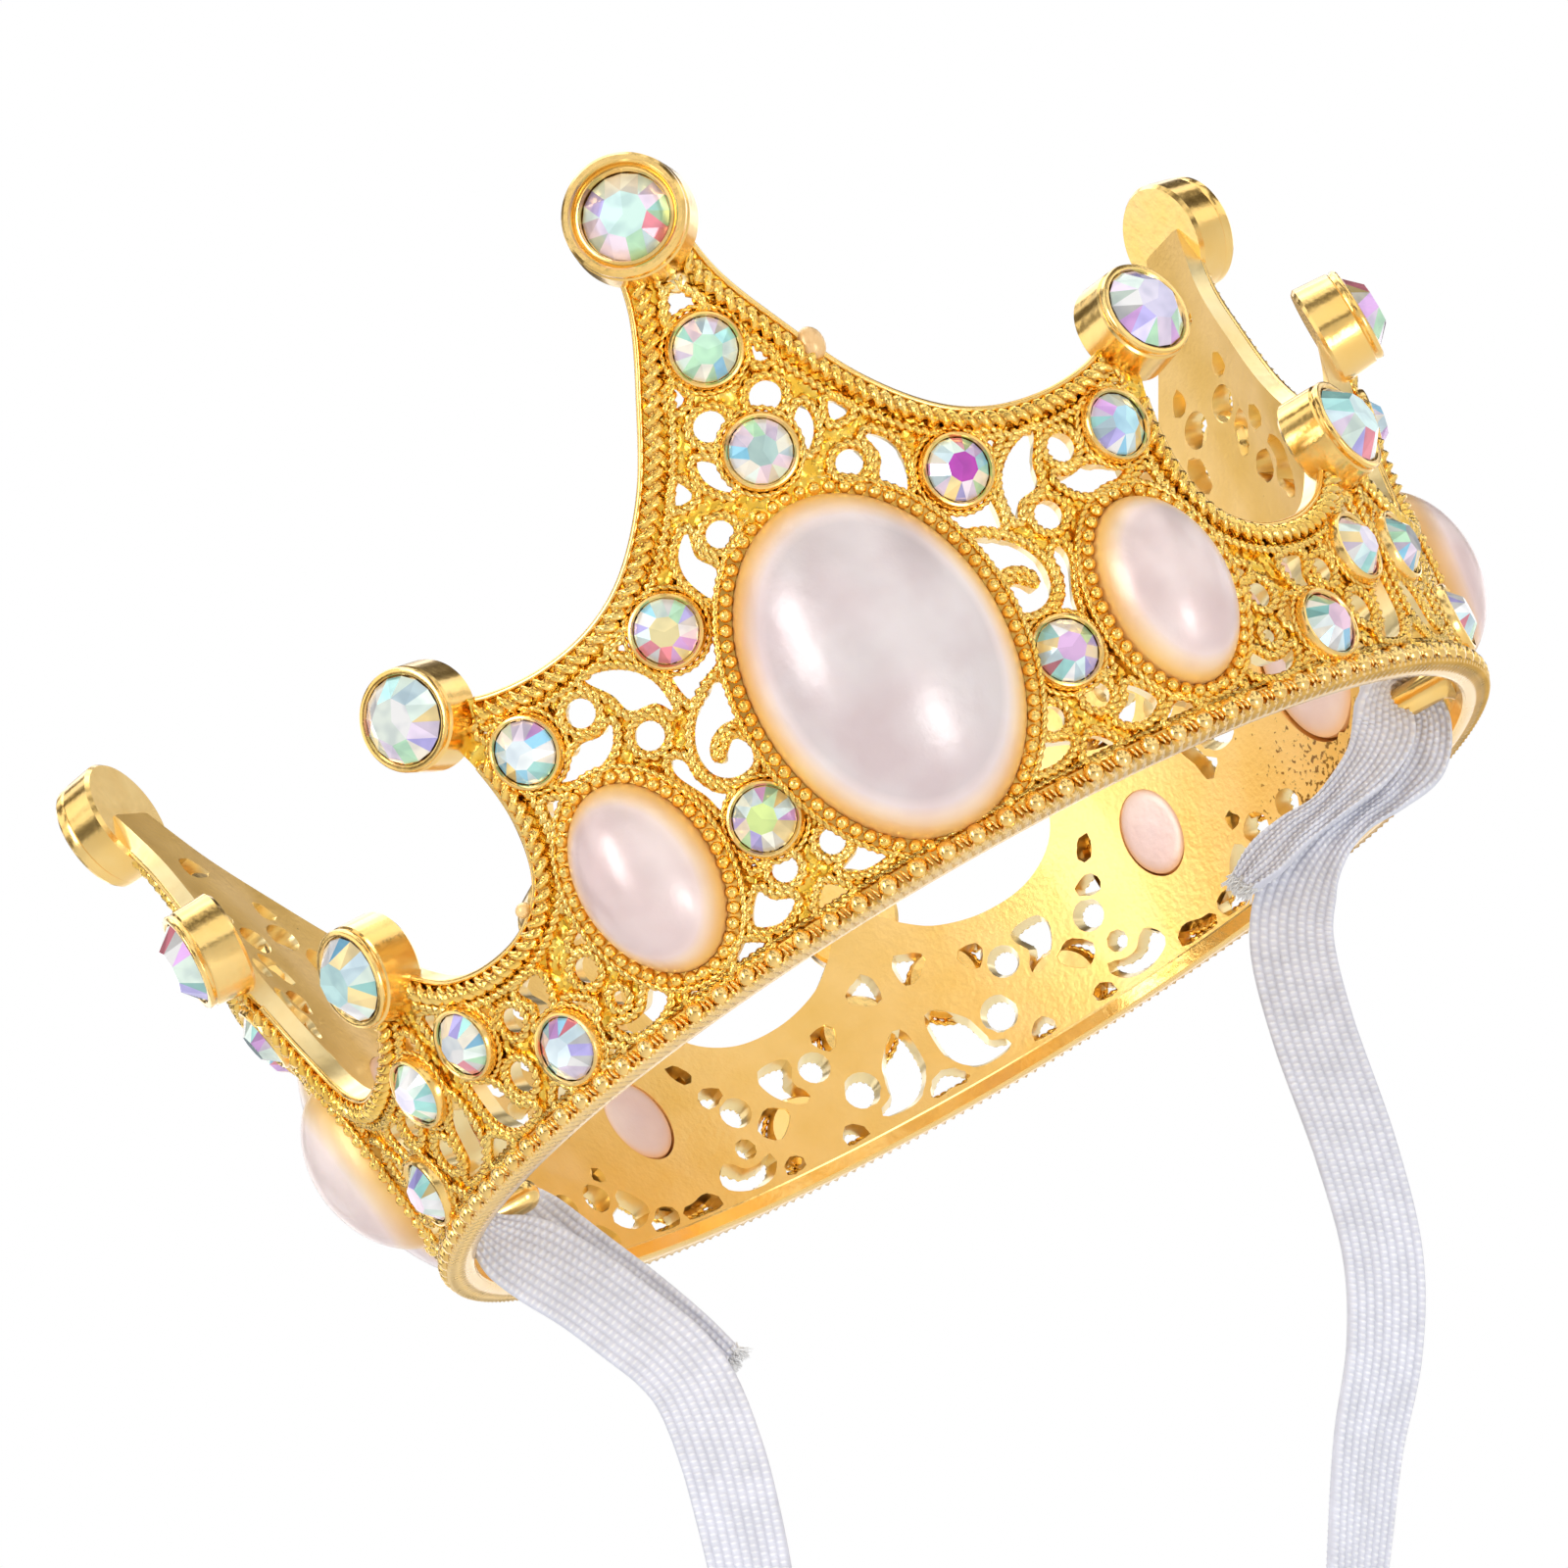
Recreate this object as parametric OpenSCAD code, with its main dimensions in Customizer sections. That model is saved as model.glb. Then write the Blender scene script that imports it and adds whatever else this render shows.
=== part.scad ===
// Small dress-up crown: one gold openwork band with caps, glued pearls and stones,
// and an elastic chin strap looped over two pegs inside the rim.
// Origin: centre of the flat underside of the rim. +Z runs up the crown, -Y is the front.

/* [Band] */
// Outer radius of the band just above the rim
band_r = 42; // [40:0.5:46]
// Wall thickness of the band
wall = 1.4; // [1.2:0.1:1.8]
// Straight part of the outward flare, in mm of radius per mm of height
flare_slope = 0.05; // [0:0.01:0.08]
// Curved part of the outward flare, in mm of radius per square mm of height
flare_curve = 0.0036; // [0.003:0.0001:0.0045]

/* [Rim] */
// Height of the corded row round the bottom edge
rim_h = 1.6; // [1.2:0.1:2]
// How far the corded row stands out from the band
rim_proud = 0.8; // [0.4:0.1:1.2]

/* [Caps] */
// Diameter of the front edge of the cap on a tall point
tall_cap_d = 8.5; // [8:0.1:9]
// Diameter of the front edge of the cap on a short or mid point
short_cap_d = 7.2; // [7:0.1:7.6]
// How much wider a cap is at its back than at its front edge
cap_taper = 0.5; // [0.1:0.1:0.8]
// Length of a cap from its back to its front edge
cap_len = 3.6; // [3.4:0.1:4.4]

/* [Stones] */
// Diameter of the stones set in the caps
cap_stone_d = 6; // [5.6:0.1:6.2]
// Diameter of the stones set on the band
small_stone_d = 4.4; // [4:0.1:4.6]
// Gap between a stone or pearl and its setting, on the radius
setting_gap = 0.05; // [0.02:0.01:0.08]

/* [Pearls] */
// Width of a large pearl
large_pearl_w = 18; // [17:0.5:19]
// Height of a large pearl
large_pearl_h = 25; // [24:0.5:25.5]
// How far a large pearl stands out of its setting floor
large_pearl_rise = 6.4; // [5:0.2:7]
// Width of a small pearl
small_pearl_w = 10; // [9.5:0.1:10.4]
// Height of a small pearl
small_pearl_h = 14; // [13:0.2:14]
// How far a small pearl stands out of its setting floor
small_pearl_rise = 4.4; // [3.6:0.2:5]

/* [Strap] */
// Width of the elastic
strap_w = 6; // [5:0.5:6.5]
// Thickness of the elastic
strap_t = 1; // [0.8:0.1:1.2]
// Diameter of the pegs that hold the strap
peg_d = 2.4; // [2:0.1:2.8]
// Length of a peg inside the band
peg_len = 6.6; // [6.4:0.1:7.5]
// Height of the peg axis above the underside
peg_z = 2.8; // [2.6:0.1:3.4]
// Running gap between a strap end and its peg
peg_gap = 0.1; // [0.05:0.05:0.3]

/* [Hidden] */
$fn = 48;
cut = 1;                     // overshoot that keeps cuts open at both faces
panels = 3;                  // the pattern repeats three times round the band
half_panel = PI * band_r / panels;   // arc length from a tall point to a mid point
shell_top = 47.5;
rim_inner_r = band_r - wall;

// Places on the band as [arc length from the nearest tall point, height],
// with the arc length taken along the bottom of the band.
tall_cap_at = [0, 47.3];
short_cap_at = [27.2, 28];
mid_cap_z = 17.5;
large_pearl_z = 14.1;
small_pearl_at = [20.4, 10.3];
point_stone_z = [37.8, 30.3];
upper_corner_at = [10.5, 23.3];
lower_corner_at = [11.5, 9.2];
short_point_at = [22.4, 21.9];
mid_upper_at = [half_panel - 3.8, 9.3];
mid_lower_at = [half_panel - 11.5, 4.3];

// Edge of the high valley between a tall and a short point.
high_valley = [[2, 47], [2.8, 42], [4.9, 37], [7.6, 32], [11, 28.2], [14.5, 26.3],
    [18.5, 25.8], [22.5, 26.5], [25.4, 28]];
// Edge of the low valley between a short and a mid point.
low_valley = [[26.9, 26.4], [26.2, 23], [26.3, 18.5], [27.8, 14.6], [31, 12.6],
    [35, 12.4], [38.5, 13.4], [40.6, 14.9], [42.2, 16.6]];

// Round windows of half a panel as [arc length, height, radius].
round_windows = [[1.9, 33.3, 1], [4.6, 26.9, 0.9], [18.1, 21.9, 1], [15.1, 18.1, 1],
    [12.2, 5.7, 0.9], [8.5, 5.6, 0.9],
    [half_panel - 6.1, 5, 1.1], [half_panel - 8.4, 8.3, 0.9],
    [half_panel - 15.9, 7.8, 0.9], [half_panel - 16.9, 4.9, 0.5]];
// Windows of half a panel that are drawn with straight sides.
cut_windows = [
    [[2.7, 37], [3.4, 35.3], [2.3, 35.5]],
    [[5.2, 31.4], [6.2, 29.8], [4.7, 29.8]],
    [[14.3, 24.4], [12.8, 24.8], [12.9, 23.2]],
    [[24.3, 25.2], [22.9, 24.7], [24.2, 24.2]],
    [[23.7, 18.6], [22, 17.6], [23.9, 16]],
    [[13.9, 8], [14, 6.9], [13.2, 7.2]],
    [[11.9, 2], [10.4, 3.6], [9, 2]],
    [[18.2, 2.8], [17.2, 3.1], [15.5, 1.9], [18.3, 1.9]],
    [[21.8, 2.8], [20.3, 2.3], [19.2, 2.3], [19.2, 1.9], [22.8, 1.9]],
    [[25.2, 13.3], [26.7, 12], [25.9, 11.6]],
    [[half_panel - 1.2, 13], [half_panel - 3.5, 11.7], [half_panel - 1.2, 10.4]],
    [[half_panel - 5.6, 10.6], [half_panel - 7.4, 10.4], [half_panel - 6.4, 8.9]],
    [[half_panel - 13.3, 7], [half_panel - 15, 5.7], [half_panel - 13.9, 4.6],
        [half_panel - 12.2, 6.1]],
    [[half_panel - 8.6, 3], [half_panel - 9.4, 1.9], [half_panel - 7.4, 1.9]],
    [[half_panel - 13.9, 2.7], [half_panel - 13.1, 1.9], [half_panel - 15, 1.9]],
    [[half_panel - 15.8, 9.7], [half_panel - 17.6, 10.4], [half_panel - 17.7, 9.1]]
];
// Windows of half a panel that are drawn as smooth commas and crescents.
curved_windows = [
    [[3.6, 31.7], [2.8, 31.1], [2.6, 30.1], [2.6, 28.9], [3.4, 29.6], [3.8, 30.6]],
    [[6.3, 28.1], [7.4, 27.2], [7.8, 25.8], [7.5, 24.4], [6.9, 23.5], [5.9, 25], [6.6, 26.4]],
    [[11.7, 20.9], [9.9, 21.2], [8.3, 21.8], [8.7, 20], [10.3, 19.3], [11.6, 18.6]],
    [[16.7, 23.6], [15, 23.2], [13.6, 22.1], [12.9, 20.6], [12.9, 18.6], [13.6, 19.7],
        [15.3, 20.2], [15.7, 21.7]],
    [[22, 19.1], [20.5, 18.4], [19, 18.3], [17.6, 18.9], [16.8, 20.2], [17.9, 19.9],
        [19.2, 20.2], [20.4, 19.8]],
    [[9.4, 18.6], [10.7, 18.3], [12.3, 16.9], [13.1, 15.2], [12.9, 13.6], [11.8, 12.7],
        [10.4, 12.8], [9.9, 13.9], [10.5, 14.9], [11.3, 14.4], [12, 13.9], [12.5, 14.6],
        [11.9, 15.6], [10.8, 16.1], [9.6, 16.2]],
    [[14.8, 15.9], [14.1, 15.4], [14.1, 14], [13.5, 12.6], [12.8, 11.9], [13.7, 11.2],
        [14.1, 12.7], [15, 14.8]],
    [[14.6, 5.4], [14, 4.4], [12.7, 3.6], [14.3, 2.8], [16, 3.7]],
    [[6.6, 4.7], [7.5, 4.2], [8.9, 3.6], [7.4, 2.8], [5.4, 3.1]],
    [[half_panel - 1.4, 7.6], [half_panel - 1.1, 5], [half_panel - 1.7, 3.4],
        [half_panel - 3.2, 2.5], [half_panel - 5.6, 2.7], [half_panel - 4.3, 3.4],
        [half_panel - 3.8, 4.8], [half_panel - 3.3, 6]],
    [[half_panel - 10.2, 9.6], [half_panel - 12.4, 9.6], [half_panel - 12.2, 8],
        [half_panel - 11, 6.7], [half_panel - 10, 6.6], [half_panel - 10.9, 8]],
    [[half_panel - 15.4, 3.5], [half_panel - 16.3, 2.4], [half_panel - 18.2, 2.2],
        [half_panel - 20, 3], [half_panel - 19.2, 4.2], [half_panel - 18, 3.2],
        [half_panel - 16.6, 3.1]]
];

// Centreline of the strap from the left peg to the right peg.
strap_route = [[-36.6, 0, 0.45], [-36.5, 0, -0.7], [-35.7, 0, -4], [-34.2, 0, -9], [-33.4, 0, -14],
    [-33.5, 0, -19], [-34.4, 0, -24], [-35.6, 0, -29], [-36.9, 0, -36], [-37.5, 0, -44],
    [-37.4, 0, -53], [-35, 0, -62], [-29.5, 0, -69], [-21.5, 0, -71.5], [-13, 0, -68.5],
    [-5.5, 0, -60.5], [2.4, 0, -49.5], [7.4, 0, -42.5], [12, 0, -37], [15.4, 0, -31],
    [17.6, 0, -23.5], [19.4, 0, -14.5], [21.4, 0, -8.3], [25.6, 0, -5], [29.8, 0, -3.9],
    [33, 0, -3.5], [35.6, 0, -2.3], [36.5, 0, -0.6], [36.6, 0, 0.45]];
// Quarter turns of the strap's width, out of the plane of the loop, at each route point.
strap_twist = [0, 0, 0, 0, 0, 0.05, 0.15, 0.3, 0.7, 0.95, 1, 1, 1, 1, 1, 0.75, 0.5, 0.4, 0.3, 0.2,
    0.1, 0, 0, 0, 0, 0, 0, 0, 0];

stone_lip = 0.4;             // metal round a small stone
stone_lip_h = 0.5;           // how far that metal stands above the stone's floor
pearl_lip = 0.75;            // metal round a pearl
pearl_lip_h = 0.9;           // how far that metal stands out of the band
pearl_back = 0.5;            // width and height of the hole behind a pearl, as a share of the pearl
cap_recess = 0.7;            // depth of the pocket in a short or mid cap
tall_recess = 1.6;           // depth of the pocket in a tall cap
tall_step = 0.6;             // depth of the wider step in front of that pocket
tall_step_w = 0.7;           // metal left round the step
floor_z = 0.3;               // floor under a small stone, above the band surface
pearl_floor = 0.2;           // floor under a pearl, above the band surface
stone_rise = 1.5;            // height of a small stone
cap_stone_rise = 2;          // height of a cap's stone
above_points = 56;           // a height clear of every point
short_left = 25.5;           // the two valleys' cuts end on these lines, under a short cap
short_right = 28;
short_above = 30;
mid_above = 18.5;            // where the low valley's cut ends, under a mid cap
high_from = 14;              // places along the band that the two valleys are cut straight at
low_from = 34;
section_step = 9.5;          // height between two points of the wall's section
strap_end_r = peg_d / 2 + peg_gap + strap_t;
peg_tip_r = rim_inner_r - peg_len;
strap_end_x = rim_inner_r - 1 - strap_w / 2;

// ---- the band's surface ----

function radius_at(z) = band_r + flare_slope * z + flare_curve * z * z;
function slope_angle(z) = atan(flare_slope + 2 * flare_curve * z);
function azimuth(s) = s / band_r * 180 / PI;

// One point between p1 and p2 on the smooth curve through four neighbours.
function blend(p0, p1, p2, p3, t) =
    0.5 * (2 * p1 + (p2 - p0) * t + (2 * p0 - 5 * p1 + 4 * p2 - p3) * t * t
        + (3 * p1 - p0 - 3 * p2 + p3) * t * t * t);

// Smooth open curve through points, with steps pieces between neighbours.
function open_curve(points, steps) = let (n = len(points)) concat(
    [for (i = [0:n - 2]) for (k = [0:steps - 1])
        blend(points[max(i - 1, 0)], points[i], points[i + 1], points[min(i + 2, n - 1)], k / steps)],
    [points[n - 1]]);

// Smooth closed curve through points.
function closed_curve(points, steps) = let (n = len(points))
    [for (i = [0:n - 1]) for (k = [0:steps - 1])
        blend(points[(i + n - 1) % n], points[i], points[(i + 1) % n], points[(i + 2) % n], k / steps)];

function mean(points, i = 0, sum = [0, 0]) =
    i == len(points) ? sum / i : mean(points, i + 1, sum + points[i]);

// Points on the band as seen square on from outside at arc length s0.
function seen_from(points, s0) = [for (p = points) [radius_at(p[1]) * sin(azimuth(p[0] - s0)), p[1]]];

// Sits children on the band surface, local Z pointing straight out of it.
module on_surface(s, z) {
    rotate([0, 0, azimuth(s)])
        translate([0, -radius_at(z), z])
            rotate([90 + slope_angle(z), 0, 0])
                children();
}

// Sits children on the band at arc length s with local Z pointing level outward.
module facing_out(s, z, r) {
    rotate([0, 0, azimuth(s)])
        translate([0, -r, z])
            rotate([90, 0, 0])
                children();
}

// Repeats children for the left and right half of every panel.
module every_half_panel() {
    for (i = [0:panels - 1], side = [0, 1])
        rotate([0, 0, i * 360 / panels])
            mirror([side, 0, 0])
                children();
}

module every_panel() {
    for (i = [0:panels - 1])
        rotate([0, 0, i * 360 / panels])
            children();
}

// ---- the band ----

// Section of the flared wall, from its inner to its outer face.
function wall_section(offset_r) =
    [for (z = [0:section_step:shell_top]) [radius_at(z) + offset_r, z]];

function reversed(points) = [for (i = [len(points) - 1:-1:0]) points[i]];

module shell() {
    rotate_extrude($fn = 180)
        polygon(concat(wall_section(0), reversed(wall_section(-wall))));
}

// Everything inside the wall, to trim what the settings push through it.
module inside() {
    rotate_extrude($fn = 180)
        polygon(concat([[0, -cut]], [[rim_inner_r, -cut]], wall_section(-wall), [[0, shell_top]]));
}

module radial_cut(points, s0) {
    rotate([0, 0, azimuth(s0)])
        rotate([90, 0, 0])
            translate([0, 0, band_r / 2])
                linear_extrude(height = band_r)
                    polygon(seen_from(points, s0));
}

module valleys() {
    radial_cut(concat([[high_valley[0][0], above_points]], open_curve(high_valley, 2),
        [[short_right, short_above], [short_right, above_points]]), high_from);
    radial_cut(concat([[short_left, above_points], [short_left, short_above]],
        open_curve(low_valley, 2),
        [[half_panel + 1, mid_above], [half_panel + 1, above_points]]), low_from);
}

module windows() {
    for (w = round_windows)
        on_surface(w[0], w[1])
            translate([0, 0, -wall - cut])
                cylinder(r = w[2], h = wall + 2 * cut, $fn = 24);
    for (w = cut_windows)
        radial_cut(w, mean(w)[0]);
    for (w = curved_windows)
        radial_cut(closed_curve(w, 2), mean(w)[0]);
}

// The two windows that straddle the middle line of a point.
module middle_windows() {
    radial_cut([[0, 42.4], [1.2, 40.4], [-1.2, 40.4]], 0);
    radial_cut([[half_panel, 3.5], [half_panel - 1.9, 1.9], [half_panel + 1.9, 1.9]], half_panel);
}

module ellipse_prism(w, h, from_z, to_z) {
    translate([0, 0, from_z])
        linear_extrude(height = to_z - from_z)
            polygon([for (a = [0:12:348]) [w / 2 * cos(a), h / 2 * sin(a)]]);
}

module pearl_setting(w, h) {
    ellipse_prism(w + 2 * pearl_lip, h + 2 * pearl_lip, -wall - cut, pearl_lip_h);
}

module pearl_pocket(w, h) {
    ellipse_prism(w + 2 * setting_gap, h + 2 * setting_gap, pearl_floor, pearl_lip_h + cut);
    ellipse_prism(w * pearl_back, h * pearl_back, -wall - 2 * cut, cut);
}

module stone_setting() {
    translate([0, 0, -wall / 2])
        cylinder(d = small_stone_d + 2 * stone_lip, h = wall / 2 + floor_z + stone_lip_h);
}

module stone_pocket() {
    translate([0, 0, floor_z])
        cylinder(d = small_stone_d + 2 * setting_gap, h = stone_lip_h + cut);
}

module cap(d, z) {
    facing_out(0, z, radius_at(z) - wall)
        cylinder(d1 = d + cap_taper, d2 = d, h = cap_len);
}

module cap_pocket(z, recess) {
    facing_out(0, z, radius_at(z) - wall)
        translate([0, 0, cap_len - recess])
            cylinder(d = cap_stone_d + 2 * setting_gap, h = recess + cut);
}

// Wider step round the deep pocket of a tall cap.
module tall_cap_step() {
    facing_out(0, tall_cap_at[1], radius_at(tall_cap_at[1]) - wall)
        translate([0, 0, cap_len - tall_step])
            cylinder(d = tall_cap_d - 2 * tall_step_w, h = tall_step + cut);
}

module half_panel_stones() {
    for (p = [upper_corner_at, lower_corner_at, short_point_at, mid_upper_at, mid_lower_at])
        on_surface(p[0], p[1])
            children();
}

module rim() {
    rotate_extrude($fn = 180)
        translate([rim_inner_r, 0])
            square([wall + rim_proud, rim_h]);
}

module peg(side) {
    translate([side * (peg_tip_r + peg_d / 2), 0, peg_z])
        rotate([0, side * 90, 0]) {
            cylinder(d = peg_d, h = peg_len - peg_d / 2 + wall / 2);
            sphere(d = peg_d);
        }
}

module band() {
    color("gold") {
        difference() {
            union() {
                difference() {
                    shell();
                    every_half_panel() valleys();
                    every_half_panel() windows();
                    every_panel() middle_windows();
                }
                rim();
                every_panel() {
                    on_surface(0, large_pearl_z) pearl_setting(large_pearl_w, large_pearl_h);
                    for (z = point_stone_z) on_surface(0, z) stone_setting();
                    cap(tall_cap_d, tall_cap_at[1]);
                    rotate([0, 0, 180 / panels]) cap(short_cap_d, mid_cap_z);
                }
                every_half_panel() {
                    on_surface(small_pearl_at[0], small_pearl_at[1])
                        pearl_setting(small_pearl_w, small_pearl_h);
                    half_panel_stones() stone_setting();
                    rotate([0, 0, azimuth(short_cap_at[0])]) cap(short_cap_d, short_cap_at[1]);
                }
            }
            inside();
            every_panel() {
                on_surface(0, large_pearl_z) pearl_pocket(large_pearl_w, large_pearl_h);
                for (z = point_stone_z) on_surface(0, z) stone_pocket();
                cap_pocket(tall_cap_at[1], tall_recess);
                tall_cap_step();
                rotate([0, 0, 180 / panels]) cap_pocket(mid_cap_z, cap_recess);
            }
            every_half_panel() {
                on_surface(small_pearl_at[0], small_pearl_at[1])
                    pearl_pocket(small_pearl_w, small_pearl_h);
                half_panel_stones() stone_pocket();
                rotate([0, 0, azimuth(short_cap_at[0])]) cap_pocket(short_cap_at[1], cap_recess);
            }
        }
        peg(-1);
        peg(1);
    }
}

// ---- pearls and stones ----

// Cabochon with a flat back and a domed front.
module pearl(w, h, rise) {
    color("lavenderblush")
        translate([0, 0, pearl_floor])
            intersection() {
                scale([w / 2, h / 2, rise]) sphere(r = 1, $fn = 64);
                translate([-w, -h, 0]) cube([2 * w, 2 * h, 2 * rise]);
            }
}

// Flat-backed stone: straight girdle, sloping crown and flat table.
module stone(d, rise) {
    color("aliceblue")
        rotate_extrude()
            polygon([[0, 0], [d / 2, 0], [d / 2, rise * 0.35], [d / 4, rise], [0, rise]]);
}

module small_stone() {
    translate([0, 0, floor_z]) stone(small_stone_d, stone_rise);
}

module cap_stone(z, recess) {
    facing_out(0, z, radius_at(z) - wall)
        translate([0, 0, cap_len - recess])
            stone(cap_stone_d, cap_stone_rise);
}

module stone_pair(at) {
    for (side = [-1, 1])
        on_surface(side * at[0], at[1]) small_stone();
}

// The pair of stones on either side of a mid point.
module mid_stone_pair(at) {
    for (s = [at[0], 2 * half_panel - at[0]])
        on_surface(s, at[1]) small_stone();
}

// ---- strap ----

// One elastic end wrapped round its peg.
module strap_end(side) {
    color("white")
        translate([side * strap_end_x, 0, peg_z])
            rotate([0, 90, 0])
                difference() {
                    cylinder(r = strap_end_r, h = strap_w, center = true);
                    cylinder(d = peg_d + 2 * peg_gap, h = strap_w + cut, center = true);
                }
}

function unit(v) = v / norm(v);

// Corners of the strap's section, across its width and its thickness.
strap_section = [for (c = [[1, 0], [0.95, 0.8], [0.5, 1], [-0.5, 1], [-0.95, 0.8],
    [-1, 0], [-0.95, -0.8], [-0.5, -1], [0.5, -1], [0.95, -0.8]])
    [c[0] * strap_w / 2, c[1] * strap_t / 2]];

// Ring of corners round route point p, with travel direction d and width turned by quarters.
function strap_ring(p, d, quarters) = let (
        flat = unit(cross([0, 1, 0], d)),
        across = flat * cos(90 * quarters) + [0, 1, 0] * sin(90 * quarters),
        thick = cross(d, across)
    ) [for (c = strap_section) p + across * c[0] + thick * c[1]];

module strap() {
    steps = 3;
    line = open_curve(strap_route, steps);
    turn = open_curve(strap_twist, steps);
    last = len(line) - 1;
    sides = len(strap_section);
    rings = [for (i = [0:last]) strap_ring(line[i],
        i == 0 || i == last ? [0, 0, i == 0 ? -1 : 1] : unit(line[i + 1] - line[i - 1]), turn[i])];
    corners = [for (ring = rings) each ring];
    walls = [for (i = [0:last - 1]) for (j = [0:sides - 1]) let (k = (j + 1) % sides)
        [i * sides + j, (i + 1) * sides + j, (i + 1) * sides + k, i * sides + k]];
    start = [for (j = [0:sides - 1]) j];
    end = [for (j = [sides - 1:-1:0]) last * sides + j];
    color("white")
        polyhedron(points = corners, faces = concat(walls, [start, end]), convexity = 6);
}

// ---- the assembly ----

band();
for (i = [1:panels]) rotate([0, 0, (i - 1) * 360 / panels]) {
    on_surface(0, large_pearl_z) pearl(large_pearl_w, large_pearl_h, large_pearl_rise);
    for (side = [0, 1]) {
        on_surface((2 * side - 1) * small_pearl_at[0], small_pearl_at[1])
                pearl(small_pearl_w, small_pearl_h, small_pearl_rise);
        rotate([0, 0, azimuth((2 * side - 1) * short_cap_at[0])])
                cap_stone(short_cap_at[1], cap_recess);
    }
    cap_stone(tall_cap_at[1], tall_recess);
    rotate([0, 0, 180 / panels]) cap_stone(mid_cap_z, cap_recess);
    for (z = point_stone_z) on_surface(0, z) small_stone();
    stone_pair(upper_corner_at);
    stone_pair(lower_corner_at);
    stone_pair(short_point_at);
    mid_stone_pair(mid_upper_at);
    mid_stone_pair(mid_lower_at);
}
strap();
strap_end(-1);  // strap_end_left
strap_end(1);  // strap_end_right
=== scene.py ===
"""Dress-up crown: gold openwork band with pearls, faceted stones and a ribbed elastic strap."""

import math
import random

import bpy
from mathutils import Matrix, Vector
from mathutils.geometry import delaunay_2d_cdt


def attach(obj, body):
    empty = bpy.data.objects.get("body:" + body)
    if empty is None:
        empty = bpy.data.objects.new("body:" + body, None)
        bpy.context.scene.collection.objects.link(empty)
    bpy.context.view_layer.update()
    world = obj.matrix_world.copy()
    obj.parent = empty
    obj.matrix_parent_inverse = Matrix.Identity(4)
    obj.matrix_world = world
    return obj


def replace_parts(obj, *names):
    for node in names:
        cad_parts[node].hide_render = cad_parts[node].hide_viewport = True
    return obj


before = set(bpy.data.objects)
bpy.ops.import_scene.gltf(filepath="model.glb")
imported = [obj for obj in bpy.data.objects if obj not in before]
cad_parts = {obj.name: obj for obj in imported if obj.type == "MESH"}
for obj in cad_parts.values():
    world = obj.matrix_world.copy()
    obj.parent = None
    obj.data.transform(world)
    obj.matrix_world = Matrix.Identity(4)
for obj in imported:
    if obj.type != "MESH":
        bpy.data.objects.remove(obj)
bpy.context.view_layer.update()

# ---- sizes, in millimetres, with places on the band's flat pattern as (arc length, height) ----

MM = 0.001  # metres
CLOSED = 0.0005  # radius that closes a turned profile
BAND_R = 42.0
WALL = 1.4
FLARE_SLOPE = 0.05
FLARE_CURVE = 0.0036
PANELS = 3
HALF = math.pi * BAND_R / PANELS  # arc length from a tall point to a mid point
PANEL = 2 * HALF

RIM_H = 1.6
RIM_OUT = 0.15  # how far the rim's ring stands out from the band
RIM_FLUTES = 340
RIM_BEADS = 116
SHEET_FOOT = 0.3  # where the openwork starts, inside the rim ring

CAP_LEN = 3.6
CAP_TAPER = 0.5
FRONT_CAP_TURN = 0.22  # the front tall cap faces a little to the left, in radians
TALL_CAP_D = 8.5
SHORT_CAP_D = 7.2
TALL_CAP_Z = 47.3
SHORT_CAP_AT = (27.2, 28.0)
MID_CAP_Z = 17.5
CAP_RECESS = 0.7
TALL_RECESS = 1.6
CAP_STONE_D = 6.0

LARGE_PEARL = (18.0, 25.0, 6.4)  # width, height and rise
LARGE_PEARL_Z = 14.1
SMALL_PEARL = (10.0, 14.0, 4.4)
SMALL_PEARL_AT = (20.4, 10.3)

SMALL_STONE_D = 4.4
SEAT_GAP = 0.04  # between a stone and its seat
POINT_STONE_Z = (37.8, 30.3)
UPPER_CORNER_AT = (10.5, 23.3)
LOWER_CORNER_AT = (11.5, 9.2)
SHORT_POINT_AT = (22.4, 21.9)
MID_UPPER_AT = (HALF - 3.8, 9.3)
MID_LOWER_AT = (HALF - 11.5, 4.3)

WINDOW_WIRE = {"radius": 0.44, "pitch": 0.62, "depth": 0.5}
EDGE_STRIP = {"radius": 0.24, "pitch": 0.6, "depth": 0}
EDGE_ROPE = {"radius": 0.74, "pitch": 1.0, "depth": 0.55, "sides": 12, "per_strand": 6}
EDGE_WIRE = {"radius": 0.46, "pitch": 0.66, "depth": 0.55}
RIM_WIRE = {"radius": 0.3, "pitch": 0.62, "depth": 0.45}
STONE_ROPE = {"radius": 0.24, "pitch": 0.6, "depth": 0.45}
PEARL_ROPE = {"radius": 0.3, "pitch": 0.6, "depth": 0.4}

PEG_R = 1.2
PEG_TIP_R = 34.0
PEG_Z = 2.8

HIGH_VALLEY = [(2, 47), (2.8, 42), (4.9, 37), (7.6, 32), (11, 28.2), (14.5, 26.3),
               (18.5, 25.8), (22.5, 26.5), (25.4, 28)]
LOW_VALLEY = [(26.9, 26.4), (26.2, 23), (26.3, 18.5), (27.8, 14.6), (31, 12.6),
              (35, 12.4), (38.5, 13.4), (40.6, 14.9), (42.2, 16.6)]


def from_middle(points):
    """Places on the half panel, from their distance before its mid point."""
    return [(HALF - s, *rest) for s, *rest in points]


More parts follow.
